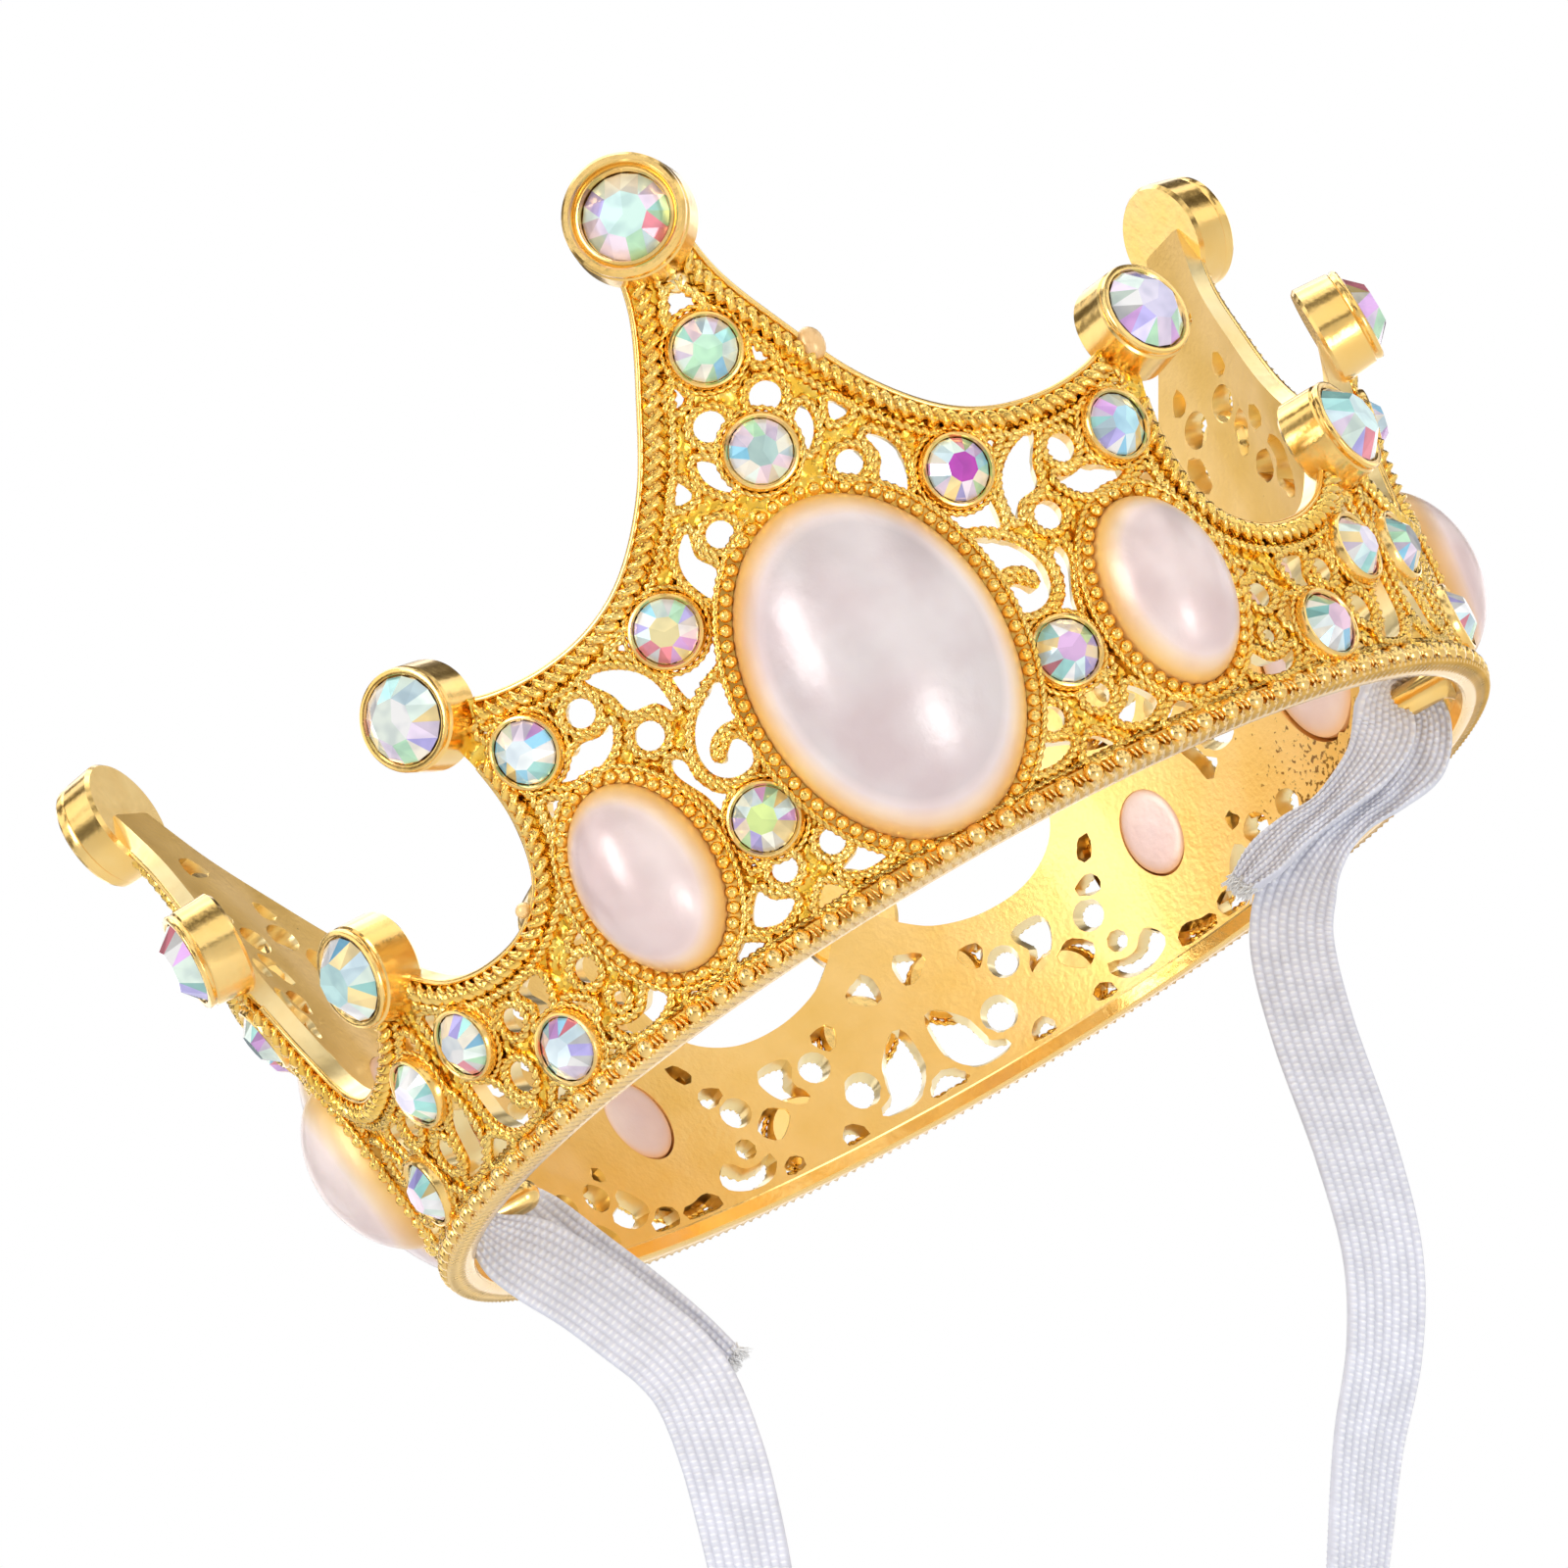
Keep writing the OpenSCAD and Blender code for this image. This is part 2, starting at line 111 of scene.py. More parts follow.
DRAFT = 0.38  # how far a window is wider on the inner face than on the outer, on each side
ROUND_WINDOWS = [(1.9, 33.3, 1), (4.6, 26.9, 0.9), (18.1, 21.9, 1), (15.1, 18.1, 1),
                 (12.2, 5.7, 0.9), (8.5, 5.6, 0.9)]
ROUND_WINDOWS += from_middle([(6.1, 5, 1.1), (8.4, 8.3, 0.9), (15.9, 7.8, 0.9), (16.9, 4.9, 0.5)])
CUT_WINDOWS = [
    [(2.7, 37), (3.4, 35.3), (2.3, 35.5)],
    [(5.2, 31.4), (6.2, 29.8), (4.7, 29.8)],
    [(14.3, 24.4), (12.8, 24.8), (12.9, 23.2)],
    [(24.3, 25.2), (22.9, 24.7), (24.2, 24.2)],
    [(23.7, 18.6), (22, 17.6), (23.9, 16)],
    [(13.9, 8), (14, 6.9), (13.2, 7.2)],
    [(11.9, 2), (10.4, 3.6), (9, 2)],
    [(18.2, 2.8), (17.2, 3.1), (15.5, 1.9), (18.3, 1.9)],
    [(21.8, 2.8), (20.3, 2.3), (19.2, 2.3), (19.2, 1.9), (22.8, 1.9)],
    [(25.2, 13.3), (26.7, 12), (25.9, 11.6)],
] + [from_middle(window) for window in (
    [(1.2, 13), (3.5, 11.7), (1.2, 10.4)],
    [(5.6, 10.6), (7.4, 10.4), (6.4, 8.9)],
    [(13.3, 7), (15, 5.7), (13.9, 4.6), (12.2, 6.1)],
    [(8.6, 3), (9.4, 1.9), (7.4, 1.9)],
    [(13.9, 2.7), (13.1, 1.9), (15, 1.9)],
    [(15.8, 9.7), (17.6, 10.4), (17.7, 9.1)])]
MIDDLE_WINDOWS = [[(0, 42.4), (1.2, 40.4), (-1.2, 40.4)],
                  from_middle([(0, 3.5), (1.9, 1.9), (-1.9, 1.9)])]
CURVED_WINDOWS = [
    [(3.6, 31.7), (2.8, 31.1), (2.6, 30.1), (2.6, 28.9), (3.4, 29.6), (3.8, 30.6)],
    [(6.3, 28.1), (7.4, 27.2), (7.8, 25.8), (7.5, 24.4), (6.9, 23.5), (5.9, 25), (6.6, 26.4)],
    [(11.7, 20.9), (9.9, 21.2), (8.3, 21.8), (8.7, 20), (10.3, 19.3), (11.6, 18.6)],
    [(16.7, 23.6), (15, 23.2), (13.6, 22.1), (12.9, 20.6), (12.9, 18.6), (13.6, 19.7),
     (15.3, 20.2), (15.7, 21.7)],
    [(22, 19.1), (20.5, 18.4), (19, 18.3), (17.6, 18.9), (16.8, 20.2), (17.9, 19.9),
     (19.2, 20.2), (20.4, 19.8)],
    [(9.4, 18.6), (10.7, 18.3), (12.3, 16.9), (13.1, 15.2), (12.9, 13.6), (11.8, 12.7),
     (10.4, 12.8), (9.9, 13.9), (10.5, 14.9), (11.3, 14.4), (12, 13.9), (12.5, 14.6),
     (11.9, 15.6), (10.8, 16.1), (9.6, 16.2)],
    [(14.8, 15.9), (14.1, 15.4), (14.1, 14), (13.5, 12.6), (12.8, 11.9), (13.7, 11.2),
     (14.1, 12.7), (15, 14.8)],
    [(14.6, 5.4), (14, 4.4), (12.7, 3.6), (14.3, 2.8), (16, 3.7)],
    [(6.6, 4.7), (7.5, 4.2), (8.9, 3.6), (7.4, 2.8), (5.4, 3.1)],
] + [from_middle(window) for window in (
    [(1.4, 7.6), (1.1, 5), (1.7, 3.4), (3.2, 2.5), (5.6, 2.7), (4.3, 3.4), (3.8, 4.8), (3.3, 6)],
    [(10.2, 9.6), (12.4, 9.6), (12.2, 8), (11, 6.7), (10, 6.6), (10.9, 8)],
    [(15.4, 3.5), (16.3, 2.4), (18.2, 2.2), (20, 3), (19.2, 4.2), (18, 3.2), (16.6, 3.1)])]

# ---- the strap's routes: x, y, z, quarter turns out of the pegs' plane, share of the width ----

STRAP_W = 6.0
STRAP_T = 1.0
STRAP_ROUTE = [(-39.1, -1.75, 2.9, 0, 0.42), (-38.8, -1.65, 1.5, 0, 0.55),
               (-38, -1.3, -0.1, 0, 0.85), (-36.6, -0.9, -2.2, 0, 1), (-34.8, -0.4, -5.4, 0, 1),
               (-33.2, 0, -9, 0, 1), (-31.9, 0, -12.4, 0, 1), (-31.5, 0, -15.6, 0, 1),
               (-32.2, 0, -20.3, 0.05, 1), (-33.4, 0, -24.8, 0.15, 1), (-35, 0, -30, 0.3, 1),
               (-36.9, 0, -37, 0.7, 1),
               (-37.5, 0, -44, 0.95, 1), (-37.4, 0, -53, 1, 1), (-35, 0, -62, 1, 1),
               (-29.5, 0, -69, 1, 1), (-21.5, 0, -71.5, 1, 1), (-13, 0, -68.5, 1, 1),
               (-5.5, 0, -60.5, 0.75, 1), (2.4, 0, -49.5, 0.5, 1), (7.4, 0, -42.5, 0.4, 1),
               (12, 0, -37, 0.3, 1), (15.4, 0, -31, 0.2, 1), (17.6, 0, -23.5, 0.1, 1),
               (19.4, 0, -14.5, 0, 1), (21.3, 0, -8.4, 0, 1), (23.8, 0, -5.2, 0, 0.92),
               (26.9, 0, -3.5, 0, 0.62), (29.9, 0.2, -2.8, 0, 0.42), (33.1, 0.8, -2.3, 0, 0.5),
               (36, 1.5, -1, 0, 0.75), (37.9, 1.8, 0.9, 0, 0.65), (38.4, 1.8, 2.8, 0, 0.55)]
LEFT_LOOP = [(-39.1, -1.75, 2.9, 0, 0.42), (-39, -1.3, 4.1, 0, 0.45), (-38.7, 0, 4.7, 0, 0.55),
             (-37.6, 1.3, 4.4, 0, 0.8), (-36.4, 2.1, 3.4, 0, 1), (-35.7, 2.2, 1, 0, 1),
             (-34.2, 2, -3, 0, 1), (-32.2, 1.8, -7.5, 0, 0.95), (-30.2, 1.8, -11.8, 0.1, 0.8),
             (-28.9, 2, -14.6, 0.2, 0.62)]
RIGHT_LOOP = [(38.4, 1.8, 2.8, 0, 0.55), (37.9, 1.3, 4.1, 0, 0.6), (37, 0, 4.7, 0, 0.7),
              (36, -1.4, 4.1, 0, 0.76), (35.3, -1.9, 2.8, 0, 0.78), (34.4, -2, 1.2, 0, 0.76),
              (32.2, -1.9, -0.3, 0, 0.62), (28.3, -1.7, -1.4, 0, 0.4),
              (25.2, -1.7, -1.8, 0.05, 0.46), (22.4, -1.8, -2.6, 0.15, 0.52),
              (20.2, -1.9, -3.3, 0.2, 0.34)]
RIBS = 9
STITCH_PITCH = 0.5
STEPS_PER_STITCH = 4
LOOSE_THREADS = 260


# ---- curves ----

def blend(p0, p1, p2, p3, t):
    """A point between p1 and p2 on the smooth curve through four neighbours."""
    return 0.5 * (2 * p1 + (p2 - p0) * t + (2 * p0 - 5 * p1 + 4 * p2 - p3) * t * t
                  + (3 * p1 - p0 - 3 * p2 + p3) * t ** 3)


def open_curve(points, steps):
    last = len(points) - 1
    out = [blend(points[max(i - 1, 0)], points[i], points[i + 1], points[min(i + 2, last)],
                 k / steps) for i in range(last) for k in range(steps)]
    return out + [points[last]]


def closed_curve(points, steps):
    n = len(points)
    return [blend(points[i - 1], points[i], points[(i + 1) % n], points[(i + 2) % n], k / steps)
            for i in range(n) for k in range(steps)]


def evenly(points, step, closed=False):
    """Points along a polyline, about a step apart."""
    line = points + [points[0]] if closed else points
    spans = [(b - a).length for a, b in zip(line, line[1:])]
    count = max(2, round(sum(spans) / step))
    out, i, done = [], 0, 0.0
    for k in range(count if closed else count + 1):
        want = sum(spans) * k / count
        while i < len(spans) - 1 and done + spans[i] < want:
            done += spans[i]
            i += 1
        share = (want - done) / spans[i] if spans[i] > 0 else 0
        out.append(line[i].lerp(line[i + 1], min(share, 1)))
    return out


def soften(points):
    """A polygon with its corners rounded."""
    for share in (0.16, 0.25, 0.25):
        pairs = list(zip(points, points[1:] + points[:1]))
        points = [p for a, b in pairs for p in (a.lerp(b, share), a.lerp(b, 1 - share))]
    return points


def way_at(points, i, closed):
    """Direction of a polyline at one of its points."""
    before = i - 1 if closed or i > 0 else i
    after = (i + 1) % len(points) if closed or i < len(points) - 1 else i
    return (points[after] - points[before]).normalized()


def side_step(points, distance, closed=False):
    """A flat polyline moved sideways to its left by a distance."""
    ways = [way_at(points, i, closed) for i in range(len(points))]
    return [p + Vector((-way.y, way.x)) * distance for p, way in zip(points, ways)]


def area(points):
    """Signed area of a flat polygon, positive if it runs anticlockwise."""
    pairs = zip(points, points[1:] + points[:1])
    return sum(a.x * b.y - b.x * a.y for a, b in pairs) / 2


def angles(count):
    return [2 * math.pi * i / count for i in range(count)]


def ellipse(w, h, count):
    return [Vector((w / 2 * math.cos(a), h / 2 * math.sin(a))) for a in angles(count)]


def beside(p, w, h, distance):
    """A point of an ellipse moved straight out of it."""
    return p + Vector((p.x / (w * w), p.y / (h * h))).normalized() * distance


def flat(points):
    return [Vector(p) for p in points]


# ---- the band's surface ----

def radius_at(z):
    return BAND_R + FLARE_SLOPE * z + FLARE_CURVE * z * z


def facing(turn):
    """The level outward and across directions at a turn from the front."""
    return (Vector((math.sin(turn), -math.cos(turn), 0)),
            Vector((math.cos(turn), math.sin(turn), 0)))


def band_frame(s, z):
    """Origin and the across, up and out directions at a place on the band."""
    slope = math.atan(FLARE_SLOPE + 2 * FLARE_CURVE * z)
    level, across = facing(s / BAND_R)
    out = level * math.cos(slope) - Vector((0, 0, math.sin(slope)))
    return (level * radius_at(z) + Vector((0, 0, z))) * MM, across, out.cross(across), out


def on_band(s, z, lift=0.0):
    origin, _, _, out = band_frame(s, z)
    return origin + out * (lift * MM)


def behind_band(s, z):
    """A place on the inner face."""
    turn = s / BAND_R
    r = radius_at(z) - WALL
    return Vector((math.sin(turn) * r, -math.cos(turn) * r, z)) * MM


def surface_frame(s, z):
    """Placement whose local Z points straight out of the band."""
    origin, across, up, out = band_frame(s, z)
    return Matrix((across, up, out)).transposed().to_4x4(), origin


def cap_frame(s, z):
    """Placement at the inner face, whose local Z points level outward."""
    level, across = facing(s / BAND_R - (FRONT_CAP_TURN if s == 0 else 0))
    turn = Matrix((across, Vector((0, 0, 1)), level)).transposed().to_4x4()
    return turn, behind_band(s, z)


def put(place, point):
    """A point given in millimetres in a placement, in metres in the crown's frame."""
    turn, origin = place
    return origin + turn.to_3x3() @ Vector(point) * MM


# ---- building meshes ----

class Build:
    """Collects the faces of one piece."""

    def __init__(self):
        self.verts, self.faces, self.slots, self.tints, self.rims = [], [], [], [], []

    def add(self, verts, faces, slot=0, tints=None, rims=None):
        base = len(self.verts)
        self.verts += [tuple(v) for v in verts]
        self.faces += [tuple(base + i for i in f) for f in faces]
        self.slots += [slot] * len(faces)
        self.tints += tints or [(1, 1, 1)] * len(faces)
        self.rims += rims or [0.0] * len(verts)

    def piece(self, name, materials, slot="gold_plate", body="crown", smooth=35):
        """Makes the object. Edges sharper than the smooth angle stay sharp."""
        mesh = bpy.data.meshes.new(name)
        mesh.from_pydata(self.verts, [], self.faces)
        for material in materials:
            mesh.materials.append(material)
        mesh.polygons.foreach_set("material_index", self.slots)
        mesh.polygons.foreach_set("use_smooth", [smooth > 0] * len(self.faces))
        if any(t != (1, 1, 1) for t in self.tints):
            tint = mesh.color_attributes.new("tint", "FLOAT_COLOR", "CORNER")
            for poly, colour in zip(mesh.polygons, self.tints):
                for corner in poly.loop_indices:
                    tint.data[corner].color = (*colour, 1)
        if any(self.rims):
            mesh.attributes.new("rim", "FLOAT", "POINT").data.foreach_set("value", self.rims)
        mesh.update()
        if 0 < smooth < 180:
            mesh.set_sharp_from_angle(angle=math.radians(smooth))
        obj = bpy.data.objects.new(name, mesh)
        bpy.context.scene.collection.objects.link(obj)
        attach(obj, body)
        return obj


def grid_faces(rings, sides, closed=False):
    """Quads between neighbouring rings, and between the last and the first if closed."""
    rows = range(rings if closed else rings - 1)
    return [(i * sides + j, i * sides + (j + 1) % sides,
             (i + 1) % rings * sides + (j + 1) % sides, (i + 1) % rings * sides + j)
            for i in rows for j in range(sides)]


def capped(faces, rings, sides):
    """The grid's faces with both end rings filled."""
    first = tuple(range(sides - 1, -1, -1))
    last = tuple((rings - 1) * sides + j for j in range(sides))
    return faces + [first, last]


def lathe(build, place, profile, slot=0, sides=64):
    """Turns a profile of (radius, height) round a placement's Z."""
    verts = [put(place, (r * math.cos(a), r * math.sin(a), h))
             for r, h in profile for a in angles(sides)]
    build.add(verts, grid_faces(len(profile), sides), slot)


def oval_sweep(build, place, w, h, profile, slot):
    """Sweeps a profile of (distance outside the oval, height) round an oval."""
    sides = 96
    verts = []
    for off, height in profile:
        for p in ellipse(w, h, sides):
            q = beside(p, w, h, off)
            verts.append(put(place, (q.x, q.y, height)))
    build.add(verts, grid_faces(len(profile), sides), slot)


def rope(build, path, radius, pitch, depth, closed=False, sides=8):
    """A wire twisted of two strands, along a path of (point in metres, outward direction).

    Its radius and pitch are in millimetres, and its depth is the share of the radius that the
    grooves take. Its rim attribute is 1 on the crests and 0 in the grooves.
    """
    radius, pitch = radius * MM, pitch * MM
    points = [p for p, _ in path]
    n = len(points)
    verts, tones = [], []
    run = 0.0
    total = sum((points[(i + 1) % n] - points[i]).length for i in range(n if closed else n - 1))
    strands = max(1, round(total / pitch))
    for i, (p, out) in enumerate(path):
        way = way_at(points, i, closed)
        side = out.cross(way).normalized()
        up = way.cross(side)
        twist = math.pi * strands * run / total
        for a in angles(sides):
            crest = (1 + math.cos(2 * (a - twist))) / 2
            r = radius * (1 - depth * (1 - crest))
            verts.append(p + side * (r * math.cos(a)) + up * (r * math.sin(a)))
            # The crest value becomes the rim attribute, by which the wire gold paints shade into
            # the grooves.
            tones.append(crest if depth > 0 else 1.0)
        if i < n - 1:
            run += (points[i + 1] - p).length
    faces = grid_faces(n, sides, closed)
    build.add(verts, faces if closed else capped(faces, n, sides), rims=tones)


def flat_rope(build, points, at, lift, pitch, closed=False, per_strand=4, **shape):
    """A rope laid on the band along flat points, on the panel and side that at gives."""
    path = []
    for p in evenly(points, pitch / per_strand, closed):
        s = at(p.x)
        path.append((on_band(s, p.y, lift), band_frame(s, p.y)[3]))
    rope(build, path, pitch=pitch, closed=closed, **shape)


def ball(build, centre, axes, radii, slot=0, sides=10, rings=6):
    """A small ellipsoid bead with its own axes, and radii in millimetres."""
    x, y, z = (r * MM for r in radii)
    verts = []
    for i in range(rings + 1):
        lat = math.pi * (i / rings - 0.5)
        ring_r = max(math.cos(lat), 0.02)
        for a in angles(sides):
            verts.append(centre + axes[0] * (x * ring_r * math.cos(a))
                         + axes[1] * (y * ring_r * math.sin(a)) + axes[2] * (z * math.sin(lat)))
    faces = capped(grid_faces(rings + 1, sides), rings + 1, sides)
    build.add(verts, faces, slot, rims=[1.0] * len(verts))


def place_on(panel, side):
    """Turns an arc length on a half panel into one round the whole band."""
    return lambda s: panel * PANEL + side * s


# ---- materials ----

def new_material(name):
    """A material, its node tree, its shader and the object's own coordinates."""
    material = bpy.data.materials.new(name)
    material.use_nodes = True
    tree = material.node_tree
    where = tree.nodes.new("ShaderNodeTexCoord").outputs["Object"]
    return material, tree, tree.nodes["Principled BSDF"], where


def settle(bsdf, **values):
    """Sets a shader's own sockets, named with _ for a space."""
    for key, value in values.items():
        bsdf.inputs[key.replace("_", " ")].default_value = value


def node(tree, kind, **settings):
    """A new node with its sockets or properties set."""
    made = tree.nodes.new(kind)
    for key, value in settings.items():
        if key in made.inputs:
            made.inputs[key].default_value = value
        else:
            setattr(made, key, value)
    return made


def noise(tree, where, scale, detail):
    made = node(tree, "ShaderNodeTexNoise", Scale=scale, Detail=detail)
    tree.links.new(where, made.inputs["Vector"])
    return made.outputs["Fac"]


def attribute(tree, name, output="Fac"):
    return node(tree, "ShaderNodeAttribute", attribute_name=name).outputs[output]


def remap(tree, source, *spans):
    """A value mapped from the first span of two numbers to the second."""
    made = tree.nodes.new("ShaderNodeMapRange")
    for socket, value in zip(("From Min", "From Max", "To Min", "To Max"), spans):
        made.inputs[socket].default_value = value
    tree.links.new(source, made.inputs["Value"])
    return made.outputs["Result"]


def vector_math(tree, where, operation, other):
    """A number from the coordinates and a fixed vector."""
    made = node(tree, "ShaderNodeVectorMath", operation=operation)
    made.inputs[1].default_value = other
    tree.links.new(where, made.inputs[0])
    return made.outputs["Value"]


def multiply(tree, first, second):
    """The product of two colours."""
    made = node(tree, "ShaderNodeMix", data_type="RGBA", blend_type="MULTIPLY")
    made.inputs["Factor"].default_value = 1.0
    tree.links.new(first, made.inputs["A"])
    tree.links.new(second, made.inputs["B"])
    return made.outputs["Result"]


def ramp(tree, stops, source):
    """A colour ramp of (position, colour) stops fed by a socket."""
    made = tree.nodes.new("ShaderNodeValToRGB")
    band = made.color_ramp
    while len(band.elements) < len(stops):
        band.elements.new(0.5)
    for element, (position, colour) in zip(band.elements, stops):
        element.position = position
        element.color = (*colour, 1)
    tree.links.new(source, made.inputs["Fac"])
    return made.outputs["Color"]


def bump(tree, bsdf, source, strength, distance):
    made = node(tree, "ShaderNodeBump", Strength=strength, Distance=distance)
    tree.links.new(source, made.inputs["Height"])
    tree.links.new(made.outputs["Normal"], bsdf.inputs["Normal"])


def gold(name, colours, roughness, grain, grain_scale, speckle=False, groove_shaded=False):
    """Plated plastic: metal between two colours and two roughnesses, with a fine grain."""
    material, tree, bsdf, where = new_material(name)
    settle(bsdf, Metallic=1.0, Coat_Weight=0.4, Coat_Roughness=0.08)
    cloud = noise(tree, where, 260.0, 3.0)
    colour = ramp(tree, [(0.3, colours[0]), (0.7, colours[1])], cloud)
    if speckle:
        reach = vector_math(tree, where, "DISTANCE", WORN_AT)
        both = node(tree, "ShaderNodeMath", operation="ADD")
        tree.links.new(remap(tree, reach, 0.002, 0.013, 0.24, 0.0), both.inputs[0])
        tree.links.new(noise(tree, where, 2200.0, 3.0), both.inputs[1])
        dark = ramp(tree, [(0.76, WHITE), (0.83, (0.3, 0.22, 0.13))], both.outputs["Value"])
        colour = multiply(tree, colour, dark)
    if groove_shaded:
        # Painted shade: the rim attribute darkens the gold in a rope's grooves, between its
        # strands.
        deep = ramp(tree, [(0.0, (0.58, 0.38, 0.16)), (0.42, WHITE)], attribute(tree, "rim"))
        colour = multiply(tree, colour, deep)
    tree.links.new(colour, bsdf.inputs["Base Color"])
    tree.links.new(remap(tree, cloud, 0.0, 1.0, *roughness), bsdf.inputs["Roughness"])
    bump(tree, bsdf, noise(tree, where, grain_scale, 2.0), grain, 0.0004)
    return material


def granulated_gold(name):
    """The cast ground between the wires: tiny packed grains, in a saturated amber that paints in
    the light bounced between the gold, deepest in the hollows between grains.
    """
    material, tree, bsdf, where = new_material(name)
    settle(bsdf, Metallic=1.0, Roughness=0.26)
    grains = node(tree, "ShaderNodeTexVoronoi", Scale=1500.0, feature="SMOOTH_F1")
    tree.links.new(where, grains.inputs["Vector"])
    distance = grains.outputs["Distance"]
    # Painted reflected light: the hollows between grains take a deeper amber than their tops.
    colour = ramp(tree, [(0.1, (1.0, 0.72, 0.16)), (0.6, (1.0, 0.58, 0.06))], distance)
    tree.links.new(colour, bsdf.inputs["Base Color"])
    bump(tree, bsdf, ramp(tree, [(0.1, WHITE), (0.6, (0, 0, 0))], distance), 0.9, 0.0003)
    return material


def pearl_lacquer(name, stops, coat):
    """Pearl lacquer whose colour runs from the crown of the dome to its margin. On the domes the
    stops paint shade on the crown and a peach reflection of the gold setting on the margin.
    """
    material, tree, bsdf, where = new_material(name)
    colour = ramp(tree, stops, attribute(tree, "rim"))
    tone = ramp(tree, [(0.35, (0.86, 0.78, 0.79)), (0.62, WHITE)], noise(tree, where, 120.0, 3.0))
    tree.links.new(multiply(tree, colour, tone), bsdf.inputs["Base Color"])
    settle(bsdf, Metallic=0.2, Roughness=0.34, Coat_Weight=coat, Coat_Roughness=0.24,
           Subsurface_Weight=0.2, Subsurface_Radius=(0.004, 0.003, 0.002), Subsurface_Scale=0.5)
    bump(tree, bsdf, noise(tree, where, 700.0, 4.0), 0.2, 0.0003)
    return material


def crystal(name):
    """Foil-backed stone with a rainbow coating, one tint to a facet."""
    material, tree, bsdf, where = new_material(name)
    shade = ramp(tree, [(0.35, (0.8, 0.82, 0.86)), (0.55, WHITE)], noise(tree, where, 700.0, 1.0))
    colour = multiply(tree, attribute(tree, "tint", "Color"), shade)
    tree.links.new(colour, bsdf.inputs["Base Color"])
    settle(bsdf, Metallic=0.2, Roughness=0.15, Coat_Weight=1.0, Coat_Roughness=0.03, Coat_IOR=1.6)
    return material


def elastic(name, colour, rib_shaded=False):
    """White covered rubber: matte thread with a soft sheen, with shade painted in between its ribs
    and stitches.
    """
    material, tree, bsdf, where = new_material(name)
    darker = tuple(c * 0.9 for c in colour)
    shade = ramp(tree, [(0.35, darker), (0.65, colour)], noise(tree, where, 500.0, 3.0))
    if rib_shaded:
        # Painted shade: the rim attribute darkens the ribbon between its ribs and stitches.
        rib = ramp(tree, [(0.0, (0.72, 0.725, 0.79)), (0.45, (0.84, 0.845, 0.9)), (0.8, WHITE)],
                   attribute(tree, "rim"))
        shade = multiply(tree, shade, rib)
    tree.links.new(shade, bsdf.inputs["Base Color"])
    settle(bsdf, Roughness=0.75, Sheen_Weight=0.3, Sheen_Roughness=0.4)
    bump(tree, bsdf, noise(tree, where, 4000.0, 2.0), 0.25, 0.0002)
    return material


WHITE = (1, 1, 1)
WORN_AT = (0.0335, 0.0225, 0.005)  # the speckled patch inside the band, in metres
WIRE_GOLD = gold("wire_gold", ((1.0, 0.6, 0.09), (1.0, 0.7, 0.2)), (0.08, 0.22), 0.25, 2600.0,
                 groove_shaded=True)
SMOOTH_GOLD = gold("smooth_gold", ((0.98, 0.62, 0.17), (1.0, 0.7, 0.26)), (0.14, 0.26),
                   0.06, 1200.0)
PALE_GOLD = gold("pale_gold", ((1.0, 0.76, 0.34), (1.0, 0.84, 0.46)), (0.24, 0.36), 0.06, 1200.0)
RIM_GOLD = gold("rim_gold", ((0.95, 0.65, 0.25), (1.0, 0.72, 0.33)), (0.22, 0.34), 0.06, 1200.0)
# Darker gold for the rim's flute hollows, the rim's face behind its beads and the pearls' collars
# between their beads: painted shade.
GROOVE_SHADE_GOLD = gold("groove_shade_gold", ((0.68, 0.39, 0.07), (0.88, 0.52, 0.11)), (0.3, 0.4), 0.1, 1200.0)
INSIDE_GOLD = gold("inside_gold", ((0.95, 0.62, 0.18), (1.0, 0.69, 0.25)), (0.42, 0.54),
                   0.16, 2200.0, speckle=True)
GROUND_GOLD = granulated_gold("granulated_gold")
# Painted shade and reflection: the domes' stops are greyer on the crown, as shade, and peach on the
# margin, as the gold setting's reflection.
PEARL = pearl_lacquer("pearl", [(0.0, (0.76, 0.69, 0.69)), (0.25, (0.9, 0.8, 0.78)),
                                (0.5, (1.0, 0.8, 0.62)), (0.72, (1.0, 0.7, 0.38)),
                                (0.9, (1.0, 0.64, 0.22))], 0.35)
PINK_PEARL = pearl_lacquer("pink_pearl", [(0.0, (0.84, 0.71, 0.69)), (0.25, (0.94, 0.79, 0.74)),
                                          (0.46, (1.0, 0.79, 0.6)), (0.7, (1.0, 0.7, 0.38)),
                                          (0.9, (1.0, 0.64, 0.22))], 0.35)
PEARL_BACK = pearl_lacquer("pearl_back", [(0.0, (0.9, 0.72, 0.68)), (0.4, (0.93, 0.7, 0.6)),
                                          (0.8, (1.0, 0.6, 0.32)), (1.0, (1.0, 0.52, 0.2))], 0.2)
NUB = pearl_lacquer("nub", [(0.0, (1.0, 0.68, 0.3)), (1.0, (1.0, 0.68, 0.3))], 0.4)
CRYSTAL = crystal("crystal")
ELASTIC = elastic("elastic", (0.95, 0.96, 1.0), rib_shaded=True)
THREAD = elastic("thread", (1.0, 1.0, 1.0))


# ---- camera ----

